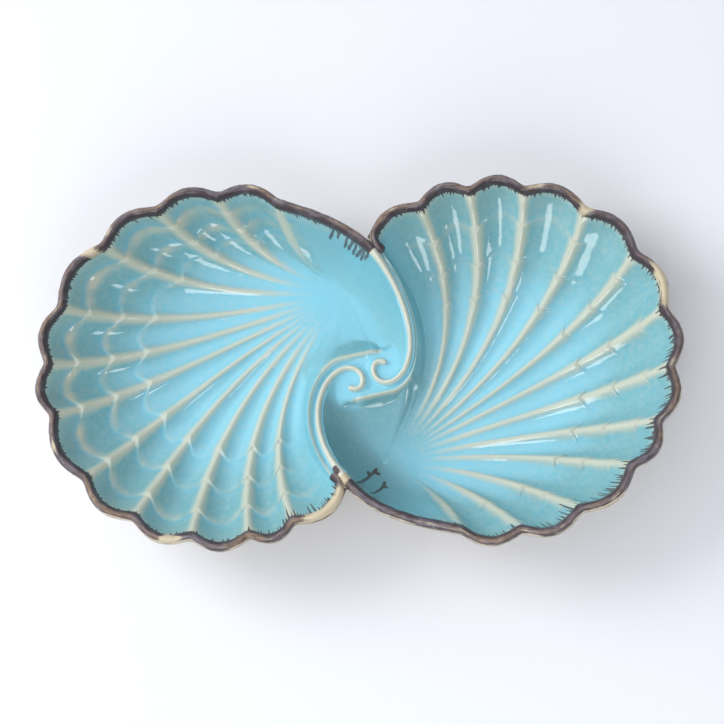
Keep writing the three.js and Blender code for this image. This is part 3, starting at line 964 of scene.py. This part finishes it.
def turquoise_glaze():
    material, tree = new_material("turquoise_glaze_over_earthenware")
    names = ("thin", "pool", "steep", "grey_and_shade", "painted_shadow", "rim_mm", "along_mm", "whisker", "stroke_mm")
    value = {key: add(tree, "Attribute", out="Fac", attribute_name=key) for key in names}
    value = SimpleNamespace(**value)
    place = add(tree, "TexCoord", out="Object")
    blotch = add(tree, "TexNoise", {"Vector": place, "Scale": 1 / (26 * MM), "Detail": 3.0})
    mottle = add(tree, "TexNoise", {"Vector": place, "Scale": 1 / (2.4 * MM), "Detail": 3.0})
    speck = add(tree, "TexNoise", {"Vector": place, "Scale": 1 / (0.7 * MM), "Detail": 1.0})

    # The floor is sky blue, and steep walls turn to a darker teal.
    slope = ragged(tree, value.steep, blotch, 0.5, 0.2, 1.2)
    # Beside the scroll a darker teal is painted in: the shadow that the scroll and seam wall cast.
    shadow_share = add(tree, "Math", [value.painted_shadow, 0.85], operation="MULTIPLY")
    # Close to the rim the blue is greyed: partly the ware's buff showing through, partly painted shade on
    # the walls that face away from the key light.
    greyed_and_shaded = add(tree, "Math", [value.grey_and_shade, blotch], operation="MULTIPLY")
    # It pools deeper blue below a ring.
    pooled = add(tree, "Math", [value.pool, 0.4], operation="MULTIPLY")
    # It breaks to cream on raised edges, unevenly.
    broken = ragged(tree, value.thin, mottle, 0.5, 0.25, 1.15, 0.84)
    # Fine specks from the clay.
    dust = add(tree, "MapRange", [speck, 0.66, 0.8, 0, 0.12])

    # The rim's brown ran into the glaze in short teeth that come in clumps, and in a few long hairs.
    def along(pitch, detail):
        """Noise along the rim, with a pitch in mm."""
        length = add(tree, "Math", [value.along_mm, 1 / pitch], operation="MULTIPLY")
        noise = {"W": length, "Scale": 1.0, "Detail": detail}
        return add(tree, "TexNoise", noise, noise_dimensions="1D")

    clump = add(tree, "MapRange", [along(7.0, 1.0), 0.42, 0.58, 0.12])
    teeth = add(tree, "MapRange", [along(1.15, 1.0), 0.42, 0.7, 0, 2.2])
    teeth = add(tree, "Math", [teeth, clump], operation="MULTIPLY")
    longer = add(tree, "MapRange", [value.whisker, 0, 1, 0.3, 3.0])
    teeth = add(tree, "Math", [teeth, longer], operation="MULTIPLY")
    hairs = add(tree, "MapRange", [along(1.3, 0.0), 0.5, 0.8, 0, 8.5])
    hairs = add(tree, "Math", [hairs, value.whisker], operation="MULTIPLY")
    reach = add(tree, "Math", [hairs, teeth], operation="ADD")
    reach = add(tree, "Math", [mottle, 1.5, reach], operation="MULTIPLY_ADD")
    short = add(tree, "Math", [reach, value.rim_mm], operation="SUBTRACT")
    brown = add(tree, "MapRange", [short, 0.3, 0.75, 0, 0.92])
    run = ragged(tree, value.stroke_mm, mottle, -0.9, -0.25, -0.6, 0.9)
    brown = add(tree, "Math", [brown, run], operation="MAXIMUM")

    coats = [
        (slope, "#71B0BB"),
        (shadow_share, "#6C9FA8"),
        (greyed_and_shaded, "#A9AD98"),
        (pooled, "#62BEDC"),
        (broken, "#CDCDB8"),
        (dust, "#5FA3B4"),
        (brown, "#4A3C3B"),
    ]
    uneven = add(tree, "TexNoise", {"Vector": place, "Scale": 1 / (9 * MM), "Detail": 2.0})
    bump = add(tree, "Bump", {"Height": uneven, "Strength": 0.4, "Distance": 0.6 * MM})
    lay_coats(tree, "#89D1E6", coats, {"Roughness": 0.08, "IOR": GLAZE_IOR, "Normal": bump})
    return material


glaze = turquoise_glaze()
print("made", glaze.name)

# %% [markdown]
# The underside is not in the photograph, apart from a pale line along the outer edge of the rim. It
# gets the same ware under a thin clear glaze, cream with a breath of turquoise.

# %% Clear glaze on the underside


def clear_glaze():
    material, tree = new_material("clear_glaze_over_earthenware")
    place = add(tree, "TexCoord", out="Object")
    blotch = add(tree, "TexNoise", {"Vector": place, "Scale": 1 / (14 * MM), "Detail": 4.0})
    tint = add(tree, "MapRange", [blotch, 0.45, 0.75, 0, 0.6])
    uneven = add(tree, "TexNoise", {"Vector": place, "Scale": 1 / (6 * MM), "Detail": 2.0})
    bump = add(tree, "Bump", {"Height": uneven, "Strength": 0.3, "Distance": 0.3 * MM})
    surface = {"Roughness": 0.16, "IOR": GLAZE_IOR, "Normal": bump}
    lay_coats(tree, "#D8CFB8", [(tint, "#B9CCC4")], surface)
    return material


under_glaze = clear_glaze()
print("made", under_glaze.name)

# %% [markdown]
# Where the brown ran furthest is listed: how long the whiskers are round the rim, and a few
# single strokes, each a short line whose distance is stored in the mesh.

# %% Whiskers and strokes
WHISKERS = {
    "right": (
        [-141, -118, -100, -80, -60, -40, -21, -2, 16, 37, 60, 99, 136],
        [0.1, 0.2, 0.4, 0.6, 1.0, 0.9, 0.7, 0.6, 0.2, 0.3, 0.15, 0.2, 0.1],
    ),
    "left": (
        [-141, -100, -45, 0, 60, 105, 116, 126, 136],
        [0.1, 0.1, 0.15, 0.1, 0.15, 0.3, 0.7, 0.9, 0.2],
    ),
}
BRANCHES = [
    [(-0.4, -62.4), (2.1, -57.4), (5.0, -51.9), (6.5, -49.7)],
    [(6.5, -49.7), (7.5, -48.2)],
    [(6.5, -49.7), (8.9, -50.5)],
    [(5.0, -51.9), (4.0, -50.5)],
    [(7.6, -64.3), (10.4, -60.1), (11.9, -57.3)],
    [(11.9, -57.3), (12.0, -55.2)],
    [(11.9, -57.3), (13.3, -58.0)],
]
DRIPS = [
    [(13.2, -69.0), (16.7, -67.4)],
    [(9.1, -68.2), (12.3, -66.5)],
    [(6.2, -65.4), (9.2, -63.1)],
    [(3.7, -63.0), (7.4, -61.8)],
    [(1.9, -61.2), (5.0, -59.9)],
    [(-1.0, -58.9), (3.4, -58.4)],
    [(-1.7, -57.8), (1.0, -56.5)],
    [(-4.3, -56.1), (-1.5, -55.9)],
]
STROKES = {"right": BRANCHES, "left": DRIPS}
STROKE_HALF = {"right": 0.8, "left": 0.65}
NO_STROKE = 30.0


def stroke_distance(plan, strokes):
    """Distance in mm of each plan point from the nearest stroke."""
    nearest = np.full(plan.shape[:-1], NO_STROKE)
    for stroke in strokes:
        for a, b in zip(np.array(stroke[:-1]), np.array(stroke[1:])):
            along = np.clip(((plan - a) @ (b - a)) / ((b - a) @ (b - a)), 0, 1)
            nearest = np.minimum(nearest, np.linalg.norm(plan - a - along[..., None] * (b - a), axis=-1))
    return nearest


print("strokes", {side: len(strokes) for side, strokes in STROKES.items()})

# %% [markdown]
# Now a bowl is put together. Each point of the upper skin carries what the glaze asks for, measured
# from the shape that was just drawn, so that the colours stay on their ribs, rings and lips.

# %% Bowls
BOWL_SHARP = 60
LAND_CREST = 1.2
BELOW_CURL = (90.0, 150.0)
PLAIN_TINT = 0.55
TINT_SLOPES = (0.04, 0.52)
LAND_SHADOW_FADES = (60.0, 130.0)
# The same greying, partly painted shade, on the land under the rim.
RIM_GREY_AND_SHADE = 0.6
UNDER_RIM = -1.0


def bowl_values(side, land, ridge, hidden):
    """The glaze's attributes: over the land, down the inside, and nothing on the hidden underside."""
    fan, inside = fans[side], insides[side]
    line = columns(fan)
    kind = line.kind
    share = join([[0], np.linspace(0, 1, LAND_ROWS)])[None]
    width = np.linalg.norm(line.outer - line.inner, axis=2)
    crest = bell((1 - share) * width, LAND_CREST) * lip_cream(side, fan)
    land_thin = np.where(kind == ON_LIP, np.maximum(crest, ridge), kind == ON_RIM)
    steep = steepness(join([land, inside.base], 1))[:, land.shape[1] :]
    below_curl = (kind == ON_LIP) * smooth(*BELOW_CURL, line.inner_turn)
    tint = mix(PLAIN_TINT, 1, np.maximum(line.relief, below_curl))
    tint = tint * smooth(*TINT_SLOPES, steep) * (1 - inside.bay)
    # The painted shadow also lies on the land of the lip near its start.
    land_shadow = PAINTED_SHADOW[side] * (kind == ON_LIP) * (1 - smooth(*LAND_SHADOW_FADES, line.inner_turn))
    whisker = np.interp(line.angle, *WHISKERS[side]) * (kind == ON_RIM)
    plans = [points[..., :2] for points in (land, inside.points)]
    strokes = [stroke_distance(plan, STROKES[side]) - STROKE_HALF[side] for plan in plans]
    values = {
        "thin": (land_thin, inside.thin),
        "pool": (0, inside.pool),
        "steep": (kind == ON_RIM, tint),
        "grey_and_shade": (RIM_GREY_AND_SHADE * (kind == ON_RIM), inside.grey_and_shade),
        "painted_shadow": (land_shadow, inside.painted_shadow),
        "rim_mm": (np.where(kind == ON_RIM, UNDER_RIM, NO_RIM), inside.rim_mm),
        "along_mm": (line.along, line.along),
        "whisker": (whisker, whisker),
        "stroke_mm": strokes,
    }
    spread = {}
    for key, (on_land, on_inside) in values.items():
        on_land = np.broadcast_to(on_land, land.shape[:2])
        on_inside = np.broadcast_to(on_inside, steep.shape)
        below = np.full(hidden, NO_STROKE if key == "stroke_mm" else 0.0)
        spread[key] = join([join([on_land, on_inside], 1).ravel(), below])
    return spread


def add_bowl(side):
    """One bowl's closed skin, with the glaze's attributes."""
    fan, inside = fans[side], insides[side]
    land, ridge = land_rows(side, fan, inside.start)
    under = outside_of(fan)
    top = join([land, inside.points], 1)
    lines, rows, low_rows = len(fan.along), top.shape[1], under.shape[1]
    hubs = np.array([[*HINGE, FLOOR_TOP], [*HINGE, FLOOR_BOTTOM]])
    points = join([top.reshape(-1, 3), under.reshape(-1, 3), hubs])
    low = lines * rows
    hub = low + lines * low_rows
    first = np.arange(lines) * rows
    first_low = low + np.arange(lines) * low_rows
    upper = [
        *ring_faces(0, lines, rows, False).tolist(),
        *hub_faces(first + rows - 1, hub, False).tolist(),
    ]
    lower = [
        *ring_faces(low, lines, low_rows, True).tolist(),
        *quads(first, np.roll(first, -1), np.roll(first_low, -1), first_low).tolist(),
        *hub_faces(first_low + low_rows - 1, hub + 1, True).tolist(),
    ]
    slots = [0] * len(upper) + [1] * len(lower)
    values = bowl_values(side, land, ridge, len(points) - low)
    skin = half_turn(points, side)
    piece = add_piece(f"{side}_bowl", skin, upper + lower, [glaze, under_glaze], slots, values)
    return dress(piece, f"{side}_shell", BOWL_SHARP)


bowls = [add_bowl(side) for side in NOTCHES]
print("faces in a bowl", len(bowls[0].data.polygons))

# %% [markdown]
# The rim is a rolled lip, painted with a dark manganese brown that is brushed along it. It wears to
# bronze where the brush was dry, and the pale body shows along its outer edge and in a few bare spots.

# %% Brown rim
STREAK_LENGTH = 9
STREAK_WIDTH = 0.8
ROLL_SHARP = 75
RIM_SECTION = 18
ROLL_TUCK = 0.28
ROLL_FLARE = (0.16, 12)
ROLL_BELLY = 0.2
ROLL_FOOT = (-1.15 * RIM_WIDTH / 2, -1.4)
ROLL_KEEL = (-0.4, -2.4)
KNOB_TURNS = (2.8, 0.8)
KNOB_STEPS = 14
KNOB_INSET = 1.0
KNOB_LENGTH = 2.4
KNOB_LEAST = 0.02
KNOB_BLEND = 40
KNOB_PASSES = 12
# Each uneven measure is a list of waves: how strong, how long in mm, and a seed.
RIM_SWELL = [(0.05, 23, 1), (0.04, 6, 5)]
RIM_RISE = [(0.35, 47, 2), (0.12, 8, 6)]
RIM_BULK = [(0.05, 31, 3)]
EDGE_WEAR = [(0.7, 60, 4)]
EDGE_WEAR_LEVEL = 0.36
EDGE_WEAR_ACROSS = (7.2, 9.2)
CROWN_WEAR = [(1.0, 43, 9)]
CROWN_WEAR_LEVEL = 0.16
CROWN_OFF = 0.12
CROWN_HALF = 0.28
# Angle on the lobe, spread in degrees, and how bare.
BARE_SPOTS = {
    "right": [(24, 7, 0.45), (60, 3, 0.35), (-140, 1.6, 0.7)],
    "left": [(127, 9, 0.5), (-41, 4, 0.4), (75, 3, 0.35)],
}


def manganese_brown():
    material, tree = new_material("manganese_brown_on_earthenware")
    names = ("along_mm", "across_mm", "crown", "bare")
    value = {key: add(tree, "Attribute", out="Fac", attribute_name=key) for key in names}
    value = SimpleNamespace(**value)
    long = add(tree, "Math", [value.along_mm, 1 / STREAK_LENGTH], operation="MULTIPLY")
    across = add(tree, "Math", [value.across_mm, 1 / STREAK_WIDTH], operation="MULTIPLY")
    brush = add(tree, "CombineXYZ", {"X": long, "Y": across})
    streak = add(tree, "TexNoise", {"Vector": brush, "Scale": 1.0, "Detail": 5.0, "Roughness": 0.65})
    place = add(tree, "TexCoord", out="Object")
    patch = add(tree, "TexNoise", {"Vector": place, "Scale": 1 / (17 * MM), "Detail": 2.0})
    blotch = add(tree, "TexNoise", {"Vector": place, "Scale": 1 / (6 * MM), "Detail": 4.0})
    # Dark along both edges; purple grey towards the crown, partly thick paint and partly a painted sheen
    # of the sky on the roll's top; bronze where it wore off the crown.
    thick_paint_and_sheen = ragged(tree, blotch, value.crown, 0.4, 0.55, 0.85)
    dry = add(tree, "Math", [value.crown, 0.5, streak], operation="MULTIPLY_ADD")
    bronze = ragged(tree, dry, patch, 1.5, 1.5, 1.86)
    # Fine dark hairs of the brush.
    fine = add(tree, "VectorMath", [brush, (1.9, 2.1, 1.0)], operation="MULTIPLY")
    hair = add(tree, "TexNoise", {"Vector": fine, "Scale": 1.0, "Detail": 3.0})
    hair = add(tree, "MapRange", [hair, 0.48, 0.6, 0, 0.85])
    # The bare, pale body in worn spots and along the outer edge.
    worn = add(tree, "Math", [blotch, 0.5, value.bare], operation="MULTIPLY_ADD")
    worn = ragged(tree, worn, streak, 0.5, 0.75, 0.91)
    coats = [(thick_paint_and_sheen, "#746D78"), (bronze, "#8F7966"), (hair, "#453A3C"), (worn, "#CDBFA2")]
    bump = add(tree, "Bump", {"Height": streak, "Strength": 0.4, "Distance": 0.35 * MM})
    lay_coats(tree, "#42363A", coats, {"Roughness": 0.24, "IOR": GLAZE_IOR, "Normal": bump})
    return material


def rim_section():
    """The roll's section: from the inner foot over the top to the tucked outer side."""
    turn = np.linspace(np.pi, -ROLL_TUCK * np.pi, RIM_SECTION)
    flare = 1 + ROLL_FLARE[0] * np.clip(-np.cos(turn), 0, 1) ** ROLL_FLARE[1]
    tall = COIL_HEIGHT + ROLL_BELLY * np.clip(-turn, 0, 1)
    roll = np.stack([RIM_WIDTH / 2 * np.cos(turn) * flare, tall * np.sin(turn)], 1)
    return join([[ROLL_FOOT], roll, [ROLL_KEEL]]).T


def rim_path(notches):
    """The rim's middle line. At its start it turns in beside the other scroll and ends in a knob."""
    angle, radius = rim_stations(notches)[:2]
    turns = np.linspace(*KNOB_TURNS, KNOB_STEPS)
    middle = join([-beside_scroll(turns, KNOB_INSET), on_lobe(radius - RIM_WIDTH / 2, angle)])
    outward = join([scroll_normal(turns), polar(1, angle)])
    drop = join([RIM_HEIGHT - scroll_top(turns), np.zeros(len(radius))])
    end = KNOB_BLEND
    for line in (middle, outward, drop):
        for _ in range(KNOB_PASSES):
            line[1:end] = (line[: end - 1] + 2 * line[1:end] + line[2 : end + 1]) / 4
    return join([np.full(KNOB_STEPS, FIRST_NOTCH), angle]), middle, unit(outward), drop


def uneven(along, waves):
    return sum(strong * wobble(along, pitch, seed) for strong, pitch, seed in waves)


def tube_faces(count, sides, flip):
    """Quads of a tube of rings of points, with both ends closed."""
    index = np.arange(count * sides).reshape(count, sides)
    after = np.roll(index, -1, 1)
    if flip:
        faces = quads(index[:-1], index[1:], after[1:], after[:-1])
        return [*faces.tolist(), index[0].tolist(), index[-1][::-1].tolist()]
    faces = quads(index[:-1], after[:-1], after[1:], index[1:])
    return [*faces.tolist(), index[0][::-1].tolist(), index[-1].tolist()]


def add_rim(side):
    """One bowl's rolled rim: its section, drawn along the rim and made uneven as if by hand."""
    angle, middle, outward, drop = rim_path(NOTCHES[side])
    x, z = rim_section()
    along = np.cumsum(np.linalg.norm(np.diff(middle, axis=0, prepend=middle[:1]), axis=1))
    start = np.sqrt(1 - (1 - np.clip(along / KNOB_LENGTH, KNOB_LEAST, 1)) ** 2)
    swell = (1 + uneven(along, RIM_SWELL)) * start
    plan = middle[:, None] + outward[:, None] * (x[None] * swell[:, None])[..., None]
    bulk = (1 + uneven(along, RIM_BULK)) * start
    height = EDGE_TOP + RIM_SEAT + (uneven(along, RIM_RISE) - drop)[:, None] + z[None] * bulk[:, None]
    count, sides = height.shape
    across = join([[0], np.cumsum(np.hypot(np.diff(x), np.diff(z)))])
    crown = bell(x / RIM_WIDTH - CROWN_OFF, CROWN_HALF)
    edge = EDGE_WEAR_LEVEL * smooth(*EDGE_WEAR_ACROSS, across)
    bare = edge[None] * (1 + uneven(along, EDGE_WEAR))[:, None]
    bare = bare + CROWN_WEAR_LEVEL * crown[None] * (1 + uneven(along, CROWN_WEAR))[:, None]
    for spot, spread, level in BARE_SPOTS[side]:
        bare = bare + level * bell(angle - spot, spread)[:, None]
    values = {
        "along_mm": np.repeat(along, sides),
        "across_mm": np.tile(across, count),
        "crown": np.tile(crown, count),
        "bare": bare,
    }
    skin = half_turn(with_height(plan, height), side)
    faces = tube_faces(count, sides, False)
    piece = add_piece(f"{side}_rolled_rim", skin, faces, [brown], None, values)
    return dress(piece, f"{side}_rim", ROLL_SHARP)


brown = manganese_brown()
rims = [add_rim(side) for side in NOTCHES]
print("faces in a rim", len(rims[0].data.polygons))

# %% [markdown]
# The scrolls are cream coils: the rim without its brown, where the glaze has run off the top and
# gathers blue along both feet. A flared section lets the coil grow out of the land.

# %% Scroll coils
SCROLL_SECTION = 17
SCROLL_STEPS = 190
SCROLL_CLOSER = 1.25
SCROLL_WIDTH = 2.7
SCROLL_NARROWS = 5.0
COIL_FLARE = (0.2, 10)
COIL_FOOT = (0.7, -0.9)
CROWN_POWER = 0.8
TIP_TURN = 24.0
TIP_STEPS = 10
TIP_LEAST = 0.04
TIP_HEIGHT = 0.6
BULB = 0.12
BULB_TURN = 50.0
LEFT_PAINT = (0.0, 1.2)
RIGHT_PAINT = ((0.6, 1.6), (3.6, 5.0))
RIGHT_PAINT_ACROSS = (-0.35, 0.1)


def broken_glaze():
    material, tree = new_material("turquoise_glaze_broken_to_cream")
    crown = add(tree, "Attribute", out="Fac", attribute_name="crown")
    painted = add(tree, "Attribute", out="Fac", attribute_name="painted")
    place = add(tree, "TexCoord", out="Object")
    mottle = add(tree, "TexNoise", {"Vector": place, "Scale": 1 / (1.8 * MM), "Detail": 3.0})
    # Cream on the crown, blue where the glaze gathered along the feet.
    broken = ragged(tree, crown, mottle, 0.35, 0.3, 0.75)
    # The last of the rim's brown, where the brush was lifted.
    edge = ragged(tree, painted, mottle, 0.5, 0.7, 0.8)
    coats = [(broken, "#D3D5C6"), (edge, "#5A494C")]
    lay_coats(tree, "#7FBFCB", coats, {"Roughness": 0.1, "IOR": GLAZE_IOR})
    return material


def add_scroll(side, name, node):
    """One coil: a flared section along the scroll's line, ending in a rounded tip."""
    closes = SCROLL_TURN - TIP_TURN
    quarter = np.linspace(0, np.pi / 2, TIP_STEPS)[1:]
    turns = closes * np.linspace(0, 1, SCROLL_STEPS) ** SCROLL_CLOSER
    turns = join([turns, closes + TIP_TURN * np.sin(quarter)])
    tip = join([np.ones(SCROLL_STEPS), np.cos(quarter)])
    width = mix(SCROLL_WIDTH, RIM_WIDTH, np.exp(-turns / SCROLL_NARROWS))
    width = width * (1 + BULB * smooth(closes - BULB_TURN, closes, turns)) * np.maximum(tip, TIP_LEAST)
    sweep = np.linspace(0, np.pi, SCROLL_SECTION)
    flare = 1 + COIL_FLARE[0] * np.abs(np.cos(sweep)) ** COIL_FLARE[1]
    x = join([[COIL_FOOT[0]], np.cos(sweep) * flare / 2, [-COIL_FOOT[0]]])
    z = join([[COIL_FOOT[1]], COIL_HEIGHT * np.sin(sweep), [COIL_FOOT[1]]])
    across = (x[None] * width[:, None])[..., None]
    plan = scroll_point(turns)[:, None] + scroll_normal(turns)[:, None] * across
    height = (scroll_top(turns) - COIL_HEIGHT)[:, None] + z[None] * mix(TIP_HEIGHT, 1, tip)[:, None]
    count, sides = height.shape
    crown = join([[0], np.sin(sweep) ** CROWN_POWER, [0]])
    if side == "left":
        painted = np.repeat(1 - smooth(*LEFT_PAINT, turns), sides)
    else:
        blob = smooth(*RIGHT_PAINT[0], turns) * (1 - smooth(*RIGHT_PAINT[1], turns))
        painted = blob[:, None] * smooth(*RIGHT_PAINT_ACROSS, x)[None]
    values = {"crown": np.tile(crown, count), "painted": painted}
    skin = half_turn(with_height(plan, height), side)
    piece = add_piece(name, skin, tube_faces(count, sides, True), [cream], None, values)
    return dress(piece, node, ROLL_SHARP)


cream = broken_glaze()
scrolls = [
    add_scroll("right", "lower_scroll_coil", "lower_scroll"),
    add_scroll("left", "upper_scroll_coil", "upper_scroll"),
]
print("faces in a scroll", len(scrolls[0].data.polygons))

# %% [markdown]
# The foot rings stand on the kiln shelf, so a potter wipes their glaze off. They are turned rings of
# bare buff clay, with rounded edges, and reach up into the floor of the bowl.

# %% Foot rings
FOOT_CENTRE = LOBE + np.array([-14.0, -16.0])
FOOT_RADIUS = 30.0
FOOT_WIDTH = 6.0
FOOT_ROUND = 1.2
FOOT_ROUND_STEPS = 6
FOOT_SIDES = 144
FOOT_SHARP = 50


def bare_earthenware():
    material, tree = new_material("bare_buff_earthenware")
    place = add(tree, "TexCoord", out="Object")
    grit = add(tree, "TexNoise", {"Vector": place, "Scale": 1 / (0.9 * MM), "Detail": 4.0})
    blotch = add(tree, "TexNoise", {"Vector": place, "Scale": 1 / (11 * MM), "Detail": 2.0})
    # Dry and matt, with darker grit from the wheel.
    shade = ragged(tree, blotch, grit, 0.5, 0.5, 1.0)
    bump = add(tree, "Bump", {"Height": grit, "Strength": 0.5, "Distance": 0.2 * MM})
    lay_coats(tree, "#DCCFB4", [(shade, "#C3AF8C")], {"Roughness": 0.85, "Normal": bump})
    return material


def add_foot(side):
    """One ring: its profile, turned round the middle of the bowl's floor."""
    top = (FLOOR_TOP + FLOOR_BOTTOM) / 2
    half = FOOT_WIDTH / 2
    corner = np.linspace(0, np.pi / 2, FOOT_ROUND_STEPS)
    low_out = np.stack([half - FOOT_ROUND * (1 - np.sin(corner)), FOOT_ROUND * (1 - np.cos(corner))], 1)
    low_in = low_out[::-1] * np.array([-1, 1])
    profile = join([low_out, [[half, top]], [[-half, top]], low_in])
    turn = np.linspace(0, 360, FOOT_SIDES, endpoint=False)
    plan = FOOT_CENTRE + polar(1, turn)[:, None] * (FOOT_RADIUS + profile[:, 0])[None, :, None]
    points = with_height(plan, np.broadcast_to(profile[:, 1], plan.shape[:2]))
    index = np.arange(plan.shape[0] * plan.shape[1]).reshape(plan.shape[:2])
    after = np.roll(index, -1, 0)
    faces = quads(index, after, np.roll(after, -1, 1), np.roll(index, -1, 1))
    piece = add_piece(f"{side}_turned_foot", half_turn(points, side), faces.tolist(), [clay])
    return dress(piece, f"{side}_foot_ring", FOOT_SHARP)


clay = bare_earthenware()
feet = [add_foot(side) for side in NOTCHES]
print("faces in a foot", len(feet[0].data.polygons))

# %% [markdown]
# The dish stands on a plain white floor. Soft light comes mostly from the back left, as in the
# photograph, where the walls that face it are bright and the others fall to teal, with a weak fill
# from the near side. Two narrow windows at the near side are only seen mirrored in the glaze: they
# give it its sharp white streaks and add no light of their own.

# %% Floor and light
FLOOR_HALF = 4000.0
SKY_TOWARD = (246, 45)
SKY_DIM = 0.33
SKY_BRIGHT = 0.94
SKY_TURNS_DIM = -0.1


def add_floor():
    material, tree = new_material("white_paper")
    lay_coats(tree, "#EBECF2", [], {"Roughness": 0.9})
    corners = [(x * FLOOR_HALF, y * FLOOR_HALF, 0) for x, y in [(-1, -1), (1, -1), (1, 1), (-1, 1)]]
    floor = add_piece("floor", corners, [(0, 1, 2, 3)], [material])


def add_light(name, azimuth, elevation, distance, size, power, mirrored):
    """An area light that either lights the dish or is only seen mirrored in the glaze."""
    data = bpy.data.lights.new(name, "AREA")
    data.shape = "RECTANGLE"
    data.size, data.size_y = size
    data.energy = power
    light = add_object(name, data)
    back = toward(azimuth, elevation)
    right = np.array([*polar(1, azimuth), 0])
    aim(light, back * distance, back, right)
    light.visible_glossy = mirrored
    light.visible_diffuse = not mirrored
    return light


def add_sky():
    """A plain studio that is brighter on one side: its light is soft and gives no sharp mirror image."""
    world = bpy.data.worlds.new("studio")
    bpy.context.scene.world = world
    world.use_nodes = True
    tree = world.node_tree
    tree.nodes.clear()
    way = [add(tree, "TexCoord", out="Generated"), toward(*SKY_TOWARD).tolist()]
    facing = add(tree, "VectorMath", way, "Value", operation="DOT_PRODUCT")
    level = add(tree, "MapRange", [facing, SKY_TURNS_DIM, 1, SKY_DIM, SKY_BRIGHT])
    glow = add(tree, "Background", {"Color": linear("#F6F9FF"), "Strength": level})
    add(tree, "OutputWorld", {"Surface": glow})


add_floor()
add_sky()
# Name, azimuth and elevation, distance and size in metres, and power.
lights = [
    add_light("key", 252, 34, 1.6, (0.8, 0.8), 15.5, mirrored=False),
    add_light("fill", 8, 42, 1.4, (0.9, 0.9), 7.0, mirrored=False),
    add_light("window_near", 352, 40, 1.3, (0.36, 0.85), 5.8, mirrored=True),
    add_light("window_right", 58, 42, 1.3, (0.24, 0.42), 2.0, mirrored=True),
]
bpy.context.scene.view_settings.view_transform = "Standard"
print("lights", [light.name for light in lights])

# %% [markdown]
